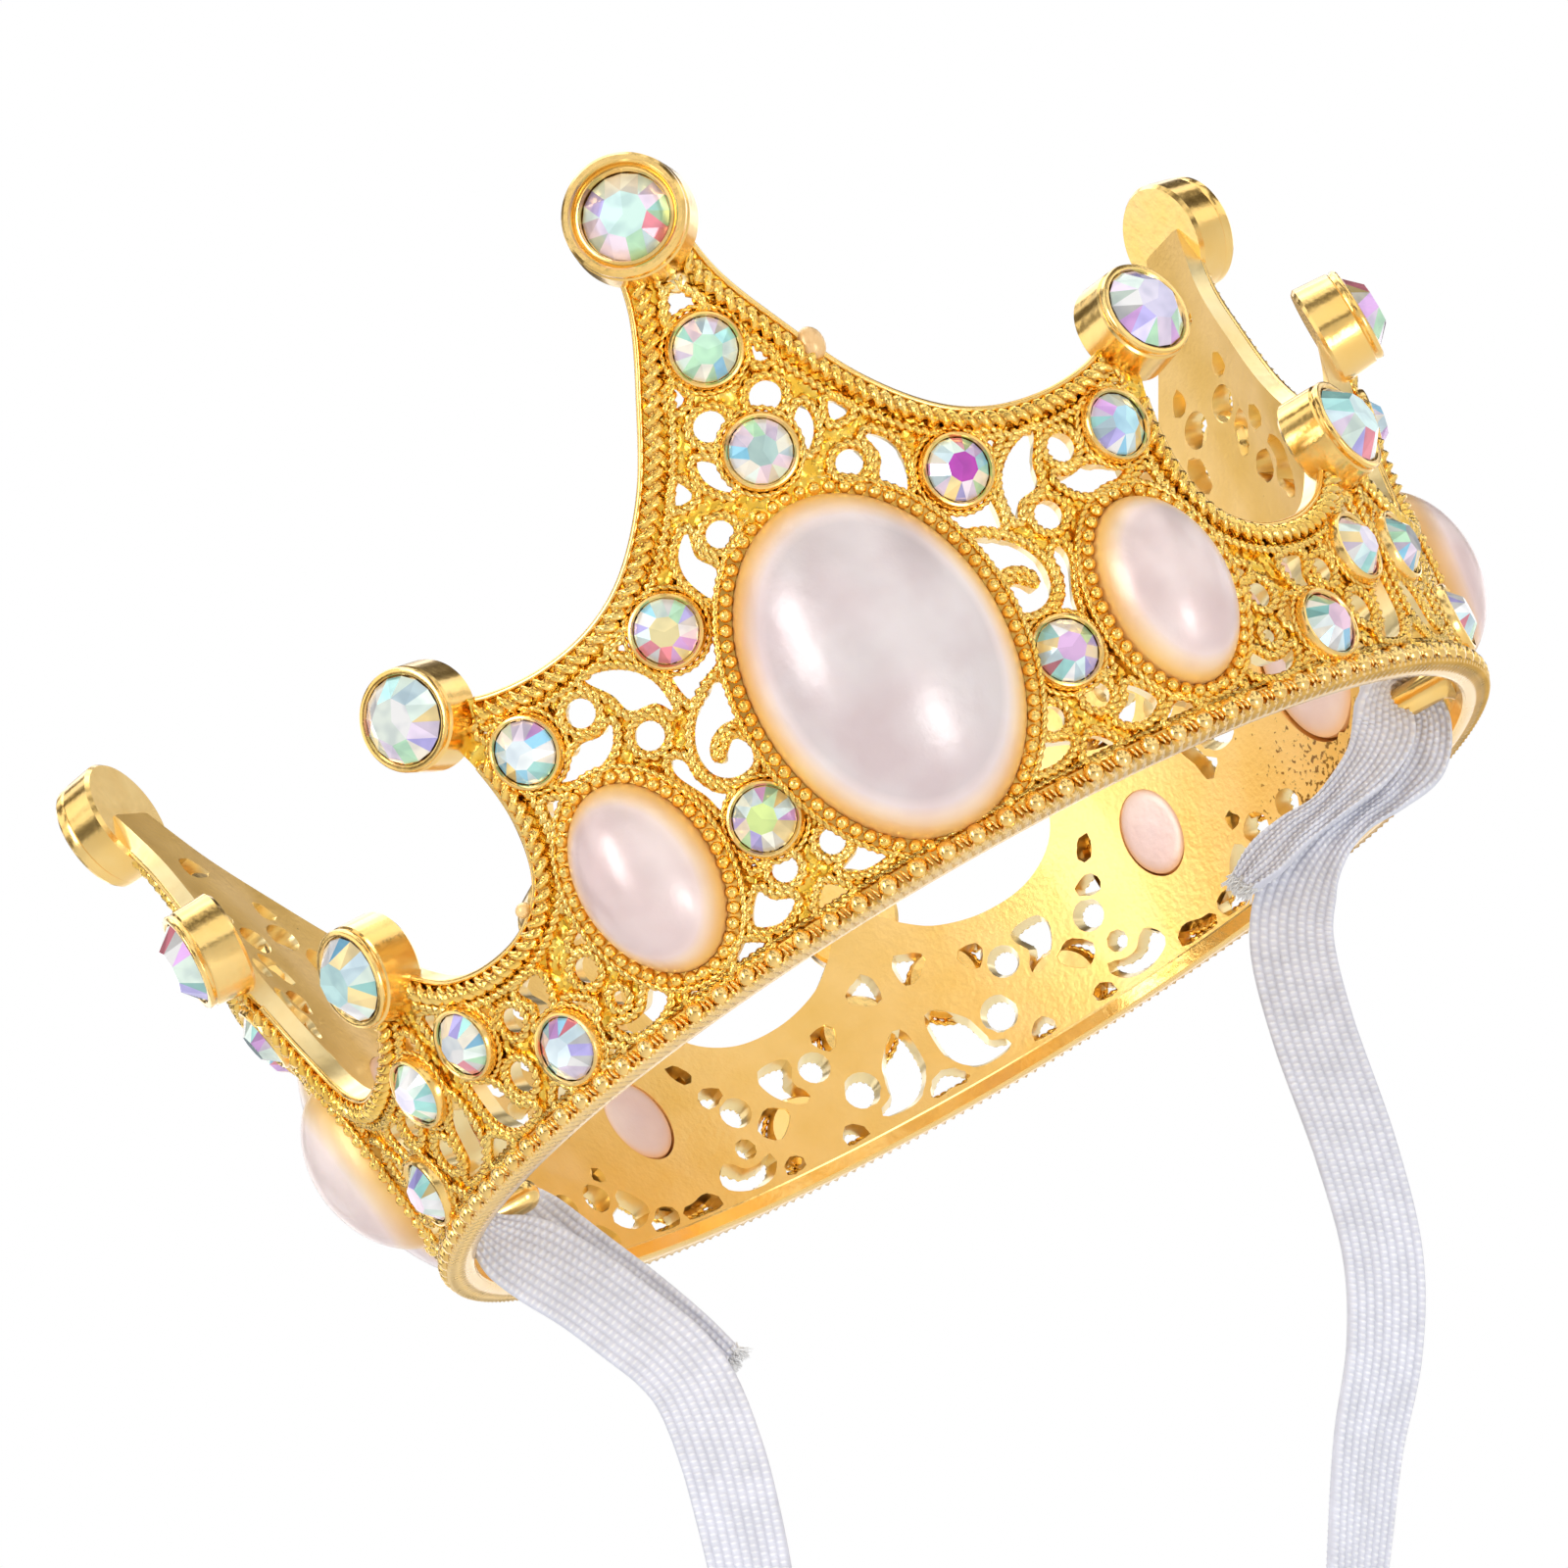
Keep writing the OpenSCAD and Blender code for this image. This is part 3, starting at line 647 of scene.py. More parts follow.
def make_camera():
    """Looks slightly up at the rim, rolled so that the crown leans to the left."""
    eye = Vector((-0.09282, -0.71715, -0.13576))
    target = Vector((-0.00462, -0.003, 0.019))
    roll = math.radians(-30.598)
    back = (eye - target).normalized()
    level = Vector((0, 0, 1)).cross(back).normalized()
    upright = back.cross(level)
    right = level * math.cos(roll) + upright * math.sin(roll)
    up = upright * math.cos(roll) - level * math.sin(roll)
    data = bpy.data.cameras.new("camera")
    data.sensor_width = 36
    data.lens = 237.7
    data.clip_start = 0.01
    data.clip_end = 20
    camera = bpy.data.objects.new("camera", data)
    camera.matrix_world = Matrix.Translation(eye) @ Matrix((right, up, back)).transposed().to_4x4()
    bpy.context.scene.collection.objects.link(camera)
    bpy.context.scene.camera = camera


# ---- the strap ----

def sampled(route, step):
    """A route's smooth curve at even steps, as (x, y, z, quarter turns, width) vectors."""
    line = open_curve([Vector(p) for p in route], 40)
    spans = [0.0]
    for a, b in zip(line, line[1:]):
        spans.append(spans[-1] + (b - a).to_3d().length)
    count = round(spans[-1] / step)
    out, i = [], 0
    for k in range(count + 1):
        want = spans[-1] * k / count
        while i < len(line) - 2 and spans[i + 1] < want:
            i += 1
        out.append(line[i].lerp(line[i + 1], (want - spans[i]) / (spans[i + 1] - spans[i])))
    return out


def strap_frames(samples):
    """Centre, direction, width direction and width at each sample.

    The width direction turns as little as it can and eases towards the plane of the route.
    """
    frames = []
    level = None
    last = len(samples) - 1
    for i, p in enumerate(samples):
        way = (samples[min(i + 1, last)] - samples[max(i - 1, 0)]).to_3d().normalized()
        aim = Vector((0, 1, 0)).cross(way)
        if level is None:
            level = aim
        level = (level - way * level.dot(way)).normalized()
        pull = 0.08 * aim.length_squared * (1 if aim.dot(level) >= 0 else -1)
        level = (level + aim * pull).normalized()
        a = math.pi / 2 * p[3]
        across = level * math.cos(a) + way.cross(level) * math.sin(a)
        frames.append((p.to_3d(), way, across, p[4]))
    return frames


def ribbon(build, frames):
    """A ribbed elastic ribbon with a column of stitches on each rib."""
    per_rib = 3
    columns = RIBS * per_rib + 1
    verts, tones = [], []
    for i, (centre, way, across, width) in enumerate(frames):
        thick = way.cross(across)
        run = i / STEPS_PER_STITCH + 0.5
        swell = 1 + 0.7 * (1 - width)
        for face in (1, -1):
            for k in range(columns):
                u = face * (k / (columns - 1) - 0.5)
                rib = (u + 0.5) * RIBS
                bulge = abs(math.sin(math.pi * rib)) ** 0.7
                stitch = math.cos(2 * math.pi * (run + 0.5 * int(min(rib, RIBS - 1))))
                height = STRAP_T / 2 * (0.55 + (0.28 + 0.2 * stitch) * bulge) * swell
                if k in (0, columns - 1):
                    height *= 0.7
                crease = 0.35 * (1 - width) * math.sin(14 * u + 0.4 * run)
                verts.append((centre + across * (u * STRAP_W * width)
                              + thick * (face * height + crease)) * MM)
                # Painted shade and light: the rim value is low in the valleys between ribs and
                # between stitches, and highest on the stitches' tops.
                tones.append(bulge * (0.5 + 0.5 * max(stitch, 0)))
    sides = 2 * columns
    faces = capped(grid_faces(len(frames), sides), len(frames), sides)
    build.add(verts, faces, rims=tones)


def fray(build, frame_at_end):
    """Loose threads at a cut end."""
    end, way, across, width = frame_at_end
    dice = random.Random(round(end.x * 10))
    for _ in range(LOOSE_THREADS):
        start = end + across * (dice.uniform(-0.5, 0.5) * STRAP_W * width)
        start += way.cross(across) * dice.uniform(-0.35, 0.35)
        aim = (way + across * dice.uniform(-0.7, 0.7)
               + way.cross(across) * dice.uniform(-0.7, 0.7)).normalized()
        reach = dice.uniform(0.3, 1.2)
        bend = aim.cross(across) * dice.uniform(-0.3, 0.3)
        points = [start - aim * 0.3, start + aim * reach * 0.5 + bend * 0.3,
                  start + aim * reach + bend]
        verts = []
        for k, p in enumerate(points):
            r = 0.1 * (1 - 0.3 * k)
            side = aim.cross(across).normalized()
            verts += [(p + (across * math.cos(a) + side * math.sin(a)) * r) * MM
                      for a in angles(3)]
        build.add(verts, capped(grid_faces(3, 3), 3, 3))


def make_strap():
    step = STITCH_PITCH / STEPS_PER_STITCH
    frames = strap_frames(sampled(STRAP_ROUTE, step))
    build = Build()
    ribbon(build, frames)
    strap = build.piece("strap_ribbon", [ELASTIC], "elastic", "chin_strap", 60)
    extras = []
    threads = Build()
    for name, route in (("strap_loop_left", LEFT_LOOP), ("strap_loop_right", RIGHT_LOOP)):
        loop = strap_frames(sampled(route, step))
        build = Build()
        ribbon(build, loop)
        extras.append(build.piece(name, [ELASTIC], "elastic", "chin_strap", 60))
        fray(threads, loop[-1])
    extras.append(threads.piece("strap_threads", [THREAD], "elastic", "chin_strap", 180))
    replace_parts(strap, "strap")
    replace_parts(extras[0], "strap_end_left")
    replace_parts(extras[1], "strap_end_right")


# ---- the openwork band ----

def window_outlines():
    """Every window of a half panel as a fine closed polyline, anticlockwise."""
    out = [[Vector((s + r * math.cos(a), z + r * math.sin(a))) for a in angles(28)]
           for s, z, r in ROUND_WINDOWS]
    out += [soften(flat(w)) for w in CUT_WINDOWS + MIDDLE_WINDOWS]
    out += [closed_curve(flat(w), 6) for w in CURVED_WINDOWS]
    return [w if area(w) > 0 else w[::-1] for w in out]


def half_outline():
    """Outline of a half panel: up the tall point and down both valleys to the mid point."""
    high = open_curve(flat(HIGH_VALLEY), 6)
    low = open_curve(flat(LOW_VALLEY), 6)
    return (flat([(0, SHEET_FOOT), (0, TALL_CAP_Z), (2, TALL_CAP_Z)]) + high
            + flat([(26.3, 28.8), (27.4, 28.2)]) + low
            + flat([(HALF, MID_CAP_Z), (HALF, SHEET_FOOT)]))


def inside(point, polygon):
    """True if a flat point lies in a polygon."""
    hit = False
    for a, b in zip(polygon, polygon[1:] + polygon[:1]):
        if (a.y > point.y) != (b.y > point.y):
            if point.x < a.x + (point.y - a.y) / (b.y - a.y) * (b.x - a.x):
                hit = not hit
    return hit


def spot(p):
    """A flat point as a key."""
    return round(p.x, 4), round(p.y, 4)


def drafts(verts, triangles, outline, windows):
    """How far each vertex moves on the inner face, so that the windows open inwards."""
    plain = {spot(p) for p in outline}
    moves = {}
    for loop in windows:
        for before, p, after in zip(loop[-1:] + loop[:-1], loop, loop[1:] + loop[:1]):
            along = (after - before).normalized()
            moves[spot(p)] = Vector((along.y, -along.x)) * DRAFT
    shifts = []
    for v in verts:
        key = spot(v)
        on_edge = min(abs(v.x), abs(v.x - HALF)) < 0.0001
        if key in moves:
            move = moves[key].copy()
        elif on_edge and key not in plain:
            nearest = min(moves, key=lambda k: (Vector(k) - v).length)
            move = Vector((0, math.copysign(DRAFT, moves[nearest].y)))
        else:
            move = Vector((0, 0))
        if on_edge:
            move.x = 0
        shifts.append(move)
    for _ in range(8):
        for t in triangles:
            old = area([verts[i] for i in t])
            if area([verts[i] + shifts[i] for i in t]) * (1 if old > 0 else -1) < 0.3 * abs(old):
                for i in t:
                    shifts[i] = shifts[i] * 0.7
    return shifts


def half_sheet():
    """Vertices and triangles of a half panel with its windows open, and the windows' draft."""
    edge_step, window_step = 0.6, 0.35
    outline = evenly(half_outline(), edge_step, True)
    corners = flat([(0, SHEET_FOOT), (HALF, SHEET_FOOT), (0, TALL_CAP_Z), (HALF, MID_CAP_Z)])
    for corner in corners:
        nearest = min(range(len(outline)), key=lambda i: (outline[i] - corner).length)
        outline[nearest] = corner
    windows = [evenly(w, window_step, True) for w in window_outlines()]
    holes = list(windows)
    for (w, h, _), at in ((LARGE_PEARL, (0, LARGE_PEARL_Z)), (SMALL_PEARL, SMALL_PEARL_AT)):
        holes.append([p + Vector(at) for p in ellipse(*back_hole(w, h), 60)])
    points, edges = [], []
    for loop in [outline] + holes:
        base = len(points)
        points += loop
        edges += [(base + i, base + (i + 1) % len(loop)) for i in range(len(loop))]
    edge_points = list(points)
    gap, clear = 1.1, 0.45  # between the points inside the sheet, and from them to an edge
    row = 0
    z = gap / 2
    while z < TALL_CAP_Z:
        s = gap * (0.5 + 0.5 * (row % 2))
        while s < HALF:
            p = Vector((s, z))
            if inside(p, outline) and all((p - q).length > clear for q in edge_points):
                points.append(p)
            s += gap
        z += gap * 0.87
        row += 1
    made = delaunay_2d_cdt(points, edges, [], 0, 1e-5)
    verts, triangles = made[0], made[2]
    kept = []
    for t in triangles:
        centre = sum((verts[i] for i in t), Vector((0, 0))) / 3
        if inside(centre, outline) and not any(inside(centre, h) for h in holes):
            kept.append(t)
    return verts, kept, drafts(verts, kept, outline, windows)


def make_band():
    """The sheet with its outer face, its inner face and the walls between them."""
    verts, triangles, shifts = half_sheet()
    around = PANEL * PANELS
    index, outer, inner, faces = {}, [], [], []
    for panel in range(PANELS):
        for side in (1, -1):
            at = place_on(panel, side)
            local = []
            for v, move in zip(verts, shifts):
                s = at(v.x) % around
                key = (round(s, 3) % round(around, 3), round(v.y, 3))
                if key not in index:
                    index[key] = len(outer)
                    outer.append(on_band(s, v.y))
                    inner.append(behind_band(at(v.x + move.x), v.y + move.y))
                local.append(index[key])
            for t in triangles:
                a, b, c = (local[i] for i in t)
                faces.append((a, b, c) if side > 0 else (a, c, b))
    shift = len(outer)
    used = dict.fromkeys(pair for f in faces for pair in zip(f, f[1:] + f[:1]))
    walls = [(b, a, a + shift, b + shift) for a, b in used if (b, a) not in used]
    build = Build()
    build.add(outer + inner, faces)
    build.faces += [tuple(i + shift for i in reversed(f)) for f in faces] + walls
    build.slots += [1] * len(faces) + [2] * len(walls)
    build.tints += [(1, 1, 1)] * (len(faces) + len(walls))
    band = build.piece("openwork_band", [GROUND_GOLD, INSIDE_GOLD, PALE_GOLD])
    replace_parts(band, "band")


def make_wires():
    """Twisted wires round every window, and the lip, rope and strip along the valleys."""
    windows = window_outlines()
    high = open_curve(flat(HIGH_VALLEY), 8)[4:-6]
    low = open_curve(flat(LOW_VALLEY), 8)[8:-6]
    for panel in range(PANELS):
        wires, ropes, strips = Build(), Build(), Build()
        for side in (1, -1):
            at = place_on(panel, side)
            for w in windows:
                flat_rope(wires, side_step(w, -0.38, True), at, 0.1, closed=True, **WINDOW_WIRE)
            for edge in (high, low):
                flat_rope(strips, side_step(edge, -0.16), at, 0.0, **EDGE_STRIP)
                flat_rope(ropes, side_step(edge, -0.98), at, 0.3, **EDGE_ROPE)
                flat_rope(wires, side_step(edge, -2.05), at, 0.1, **EDGE_WIRE)
        wires.piece(f"filigree_wires_{panel + 1}", [WIRE_GOLD], smooth=180)
        ropes.piece(f"border_ropes_{panel + 1}", [WIRE_GOLD], smooth=180)
        strips.piece(f"border_strips_{panel + 1}", [SMOOTH_GOLD], smooth=180)


def make_rim():
    """Flat ring with a fluted underside and a row of beads and reels round it."""
    inner, outer = BAND_R - WALL, BAND_R + RIM_OUT
    profile = [(inner, 0.15), (inner + 0.12, 0.02), (inner + 0.5, 0), (outer - 0.75, 0),
               (outer - 0.2, 0), (outer + 0.42, 0.03), (outer + 0.58, 0.18), (outer + 0.5, 0.38),
               (outer + 0.1, 0.42)]
    fluted = range(4, 8)  # the profile's points that rise and fall
    per_flute = 8
    around = RIM_FLUTES * per_flute
    verts = []
    for k, (r, h) in enumerate(profile):
        for a in angles(around):
            groove = 0.13 * (1 - math.cos(RIM_FLUTES * a + 2.5 * r)) if k in fluted else 0
            verts.append(Vector((r * math.sin(a), -r * math.cos(a), h + groove)) * MM)
    ring = Build()
    ring.add(verts, grid_faces(len(profile), around))
    # Faces in the flutes' hollows take the groove gold, as painted shade.
    for k in range(fluted.start - 1, fluted.stop):
        for j in range(around):
            if math.cos(2 * math.pi * j / per_flute + 2.5 * profile[k][0]) < -0.05:
                ring.slots[k * around + j] = 1
    ring.piece("rim_ring", [RIM_GOLD, GROOVE_SHADE_GOLD], smooth=60)
    foot = Build()
    level = (Matrix.Identity(4), Vector((0, 0, 0)))
    # The face behind the beads takes the groove gold, as painted shade.
    lathe(foot, level, [(outer + 0.1, 0.3), (outer + 0.1, RIM_H), (outer - 0.1, RIM_H + 0.25)], 1,
          sides=240)
    lathe(foot, level, [(inner, 0.15), (inner - 0.12, 0.25), (inner - 0.12, 1.15), (inner, 1.3)],
          sides=240)
    foot.piece("rim_faces", [SMOOTH_GOLD, GROOVE_SHADE_GOLD])
    beads = Build()
    for i in range(RIM_BEADS):
        for share, along_r, round_r in ((0.0, 0.76, 0.84), (0.41, 0.16, 0.56), (0.59, 0.16, 0.56)):
            out, along = facing(2 * math.pi * (i + share) / RIM_BEADS)
            lean = (along + Vector((0, 0, 0.3))).normalized() if share else along
            centre = out * ((BAND_R + 0.2) * MM) + Vector((0, 0, 0.98 * MM))
            ball(beads, centre, (lean, out, out.cross(lean)), (along_r, round_r, round_r),
                 sides=14, rings=9)
    beads.piece("rim_beads", [SMOOTH_GOLD], smooth=180)
    top = Build()
    line = [Vector((s, RIM_H + 0.35)) for s in (0, PANEL * PANELS)]
    flat_rope(top, evenly(line, 0.5)[:-1], lambda s: s, 0.1, closed=True, **RIM_WIRE)
    top.piece("rim_wire", [WIRE_GOLD], smooth=180)


def make_pegs():
    """A round-tipped peg on each side, inside the rim."""
    tip = [(PEG_R * math.sin(a), PEG_TIP_R + PEG_R - PEG_R * math.cos(a))
           for a in (math.pi / 2 * k / 8 for k in range(9))]
    tip[0] = (CLOSED, PEG_TIP_R)
    foot = [(PEG_R, BAND_R - WALL - 0.7), (PEG_R + 0.2, BAND_R - WALL - 0.3),
            (PEG_R + 0.6, BAND_R - WALL), (PEG_R + 0.6, BAND_R - WALL + 0.4)]
    build = Build()
    for side in (-1, 1):
        turn = Matrix(((0, side, 0), (0, 0, 1), (side, 0, 0))).transposed()
        lathe(build, (turn.to_4x4(), Vector((0, 0, PEG_Z * MM))), tip + foot, sides=32)
    build.piece("strap_pegs", [SMOOTH_GOLD])


def cap_profile(d, edge, front):
    """A cap's profile from its back's edge height and front points of (radius, depth)."""
    back = (d + CAP_TAPER) / 2
    return ([(CLOSED, 0), (back - 0.25, 0), (back, edge)]
            + [(r, CAP_LEN - depth) for r, depth in front])


def make_caps():
    """The round caps on the points, turned from one profile each."""
    seat_r = CAP_STONE_D / 2 + SEAT_GAP
    r = TALL_CAP_D / 2
    tall_profile = cap_profile(TALL_CAP_D, 0.3, [
        (r + 0.12, 1.1), (r, 0.95), (r + 0.06, 0.7), (r + 0.02, 0.25), (r - 0.18, 0.02),
        (r - 0.45, 0.02), (r - 0.62, 0.2), (r - 0.72, 0.6), (r - 0.82, 0.5), (r - 1.05, 0.45),
        (CAP_STONE_D / 2 + 0.08, 0.62), (seat_r, TALL_RECESS), (CLOSED, TALL_RECESS)])
    r = SHORT_CAP_D / 2
    short_profile = cap_profile(SHORT_CAP_D, 0.25, [
        (r + 0.04, 0.75), (r - 0.1, 0.62), (r - 0.02, 0.4), (r, 0.22), (r - 0.08, 0.06),
        (r - 0.24, 0), (seat_r + 0.12, 0.02), (seat_r, 0.16), (seat_r, CAP_RECESS),
        (CLOSED, CAP_RECESS)])
    tall, short = Build(), Build()
    for panel in range(PANELS):
        s0 = panel * PANEL
        lathe(tall, cap_frame(s0, TALL_CAP_Z), tall_profile)
        places = [(s0 + side * SHORT_CAP_AT[0], SHORT_CAP_AT[1]) for side in (1, -1)]
        for s, z in places + [(s0 + HALF, MID_CAP_Z)]:
            lathe(short, cap_frame(s, z), short_profile)
    tall.piece("tall_point_caps", [SMOOTH_GOLD])
    short.piece("short_point_caps", [SMOOTH_GOLD])


def stone_places(panel):
    """The places of one panel's small stones, by the node that they replace."""
    s0 = panel * PANEL
    i = panel + 1

    def pair(at):
        return [(s0 - at[0], at[1]), (s0 + at[0], at[1])]

    def mid_pair(at):
        return [(s0 + at[0], at[1]), (s0 + PANEL - at[0], at[1])]

    return {f"point_stones_{i}": [(s0, z) for z in POINT_STONE_Z],
            f"upper_corner_stones_{i}": pair(UPPER_CORNER_AT),
            f"lower_corner_stones_{i}": pair(LOWER_CORNER_AT),
            f"short_point_stones_{i}": pair(SHORT_POINT_AT),
            f"mid_upper_stones_{i}": mid_pair(MID_UPPER_AT),
            f"mid_lower_stones_{i}": mid_pair(MID_LOWER_AT)}


def pearl_places(panel):
    """The place and the size of one panel's pearls, by the node that they replace."""
    s0 = panel * PANEL
    i = 2 * panel + 1
    return {f"large_pearl_{panel + 1}": (s0, LARGE_PEARL_Z, LARGE_PEARL),
            f"small_pearl_{i}": (s0 - SMALL_PEARL_AT[0], SMALL_PEARL_AT[1], SMALL_PEARL),
            f"small_pearl_{i + 1}": (s0 + SMALL_PEARL_AT[0], SMALL_PEARL_AT[1], SMALL_PEARL)}


def back_hole(w, h):
    """Width and height of the hole behind a pearl."""
    share = 0.58 if w == LARGE_PEARL[0] else 0.5
    return w * share, h * share


def ring_path(place, w, h, off, height, step):
    """Points and outward directions round an oval in a placement."""
    line = [beside(p, w, h, off) for p in ellipse(w, h, 240)]
    out = place[0].to_3x3() @ Vector((0, 0, 1))
    return [(put(place, (q.x, q.y, height)), out) for q in evenly(line, step, True)]


def held_in_wall(x, y, z):
    """The point itself, or moved outwards where it would come through the inner face."""
    least = (radius_at(z / MM) - WALL + 0.1) * MM
    share = max(1, least / math.hypot(x, y))
    return x * share, y * share, z


def make_settings():
    """The collars that hold the stones and pearls, with their rope rings."""
    for panel in range(PANELS):
        collars, rings = Build(), Build()
        for places in stone_places(panel).values():
            for s, z in places:
                place = surface_frame(s, z)
                r = SMALL_STONE_D / 2 + SEAT_GAP
                profile = [(CLOSED, 0.1 - WALL), (r + 0.3, 0.1 - WALL), (r + 0.6, -0.8),
                           (r + 0.5, 0.35), (r + 0.42, 0.8), (r + 0.32, 0.96), (r + 0.18, 1.0),
                           (r + 0.07, 0.92), (r, 0.75), (r, 0.3), (CLOSED, 0.28)]
                lathe(collars, place, profile, sides=48)
                path = ring_path(place, 2 * r, 2 * r, off=0.72, height=0.2, step=0.15)
                rope(rings, path, closed=True, **STONE_ROPE)
        for s, z, (w, h, _) in pearl_places(panel).values():
            place = surface_frame(s, z)
            profile = [(1.15, -WALL * 0.7), (1.1, 0.1), (0.95, 0.25), (0.5, 0.3), (0.02, 0.3),
                       (0.02, 0.1)]
            # The pearl collar, seen between the beads, takes the groove gold, as painted shade.
            oval_sweep(collars, place, w, h, profile, 1)
            for centre, out in ring_path(place, w, h, off=0.44, height=0.42, step=1.04):
                along = out.cross(Vector((0, 0, 1))).normalized()
                ball(rings, centre, (along, out.cross(along), out), [0.48] * 3, sides=14, rings=9)
            path = ring_path(place, w, h, off=1.12, height=0.3, step=0.15)
            rope(rings, path, closed=True, **PEARL_ROPE)
        collars.verts = [held_in_wall(*v) for v in collars.verts]
        collars.piece(f"setting_collars_{panel + 1}", [SMOOTH_GOLD, GROOVE_SHADE_GOLD])
        rings.piece(f"setting_ropes_{panel + 1}", [WIRE_GOLD], smooth=180)


def make_nubs():
    """Stubs that the mould left on the edges of two points, and a web under the front cap."""
    build = Build()
    for s, z, radii in ((5.8, 34.9, (0.95, 1.25, 0.85)), (-29.5, 13.6, (0.6, 0.55, 0.6))):
        _, across, up, out = band_frame(s, z)
        ball(build, on_band(s, z, 0.1), (across, up, out), radii, sides=20, rings=12)
    _, across, up, out = band_frame(0, 42.4)
    ball(build, on_band(0.5, 42.4, 0.1), (across, up, out), (0.9, 0.8, 0.3), 1)
    build.piece("mould_nubs", [NUB, PALE_GOLD], smooth=180)


# ---- pearls and stones ----

def make_pearls():
    """Domes on the outside of the band, whose flat backs show through its oval holes."""
    sides, rings = 72, 26
    back = [(1.0, 0.2, 1.0), (1.0, -0.9, 1.0), (0.98, -1.22, 0.85), (0.88, -1.33, 0.5),
            (0.7, -1.35, 0.2), (0.001, -1.36, 0.001)]  # share of the hole, height, rim value
    for panel in range(PANELS):
        for name, (s, z, (w, h, rise)) in pearl_places(panel).items():
            place = surface_frame(s, z)
            large = w == LARGE_PEARL[0]
            # The peach margin is a painted reflection of the gold setting, and the dome's crown is
            # painted greyer, as shade.
            fade = 1.9 if large else 1.35  # width of the peach margin
            build = Build()
            verts, rims = [], []
            for i in range(rings + 1):
                a = math.pi / 2 * i / rings
                share, height = math.cos(a), rise * math.sin(a) ** 1.2
                for p in ellipse(w * max(share, 0.001), h * max(share, 0.001), sides):
                    verts.append(put(place, (p.x, p.y, 0.2 + height)))
                    rims.append(max(0.001, 1 - (1 - share) * w / 2 / fade))
            build.add(verts, grid_faces(rings + 1, sides), 0, rims=rims)
            verts, rims = [], []
            back_w, back_h = back_hole(w, h)
            for share, height, tone in back:
                for p in ellipse(back_w * share, back_h * share, sides):
                    verts.append(put(place, (p.x, p.y, height)))
                    rims.append(tone)
            build.add(verts, [f[::-1] for f in grid_faces(len(back), sides)], 1, rims=rims)
            lacquer = PEARL if large else PINK_PEARL
            pearl = build.piece(f"{name}_dome", [lacquer, PEARL_BACK], "pearl")
            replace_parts(pearl, name)


PALE = [(1.0, 1.0, 1.0), (0.72, 0.92, 1.0), (0.84, 1.0, 0.9), (0.93, 0.8, 1.0), (1.0, 0.94, 0.8)]
BRIGHT = [(0.3, 0.7, 1.0), (0.42, 0.86, 0.82), (0.55, 0.5, 1.0), (0.98, 0.76, 0.34),
          (0.9, 0.28, 0.36), (0.56, 0.92, 0.62), (0.83, 0.46, 0.95)]
TABLES = [(0.58, 0.95, 0.66), (0.44, 0.62, 0.58), (0.84, 0.72, 0.36), (0.55, 0.05, 0.5),
          (0.66, 0.82, 0.28), (0.78, 0.5, 0.82), (0.84, 0.95, 1.0), (0.5, 0.82, 0.98),
          (0.86, 0.8, 0.98), (0.9, 0.95, 0.98), (0.82, 0.55, 0.7), (0.72, 0.85, 0.9),
          (0.66, 0.92, 0.84), (0.9, 0.98, 0.9), (0.78, 0.74, 0.98), (0.6, 0.88, 0.88)]


def gem(build, place, d, base, rise, seed, table=0.49):
    """A round stone with a girdle, eight main facets split in two, and an octagonal table."""
    dice = random.Random(seed)
    r = d / 2
    n = 8
    spin = dice.uniform(0, math.pi / 4)

    def ring(radius, height, count, shift=0.0):
        return [put(place, (radius * math.cos(a), radius * math.sin(a), base + height))
                for a in (spin + 2 * math.pi * (i + shift) / count for i in range(count))]

    low, girdle = ring(r, 0, 2 * n), ring(r, rise * 0.3, 2 * n)
    top, heart = ring(r * table, rise, n), ring(0.0, rise, 1)
    g, t, c = 2 * n, 4 * n, 5 * n
    faces, tints = [], []

    def facet(corners, tint, shade=1.0):
        faces.append(corners)
        tints.append(tuple(min(x * shade, 1.0) for x in tint))

    # The girdle is painted almost black, as the shade in the gap between the stone and its seat.
    for i in range(2 * n):
        facet((i, (i + 1) % g, g + (i + 1) % g, g + i), (0.2, 0.16, 0.16))
    for i in range(n):
        j = (i + 1) % n
        # Each facet's tint is scaled by a random shade: painted light and shade for how the facet
        # catches the light.
        own = dice.choice(BRIGHT if dice.random() < 0.62 else PALE)
        other = dice.choice(PALE + PALE + BRIGHT)
        facet((g + 2 * i, g + 2 * i + 1, t + i), own, dice.uniform(0.68, 1.08))
        facet((g + 2 * i + 1, g + (2 * i + 2) % g, t + j), other, dice.uniform(0.55, 1.08))
        facet((g + 2 * i + 1, t + j, t + i), dice.choice((own, other)), dice.uniform(0.8, 1.1))
    # Three neighbouring table facets are painted lighter and the rest darker: a painted highlight
    # on one side of the table.
    face = TABLES[seed % len(TABLES)]
    half = dice.randrange(n)
    for i in range(n):
        lit_side = (i - half) % n < 3
        facet((t + i, t + (i + 1) % n, c), face, 1.12 if lit_side else 0.97)
    build.add(low + girdle + top + heart, faces, 0, tints)


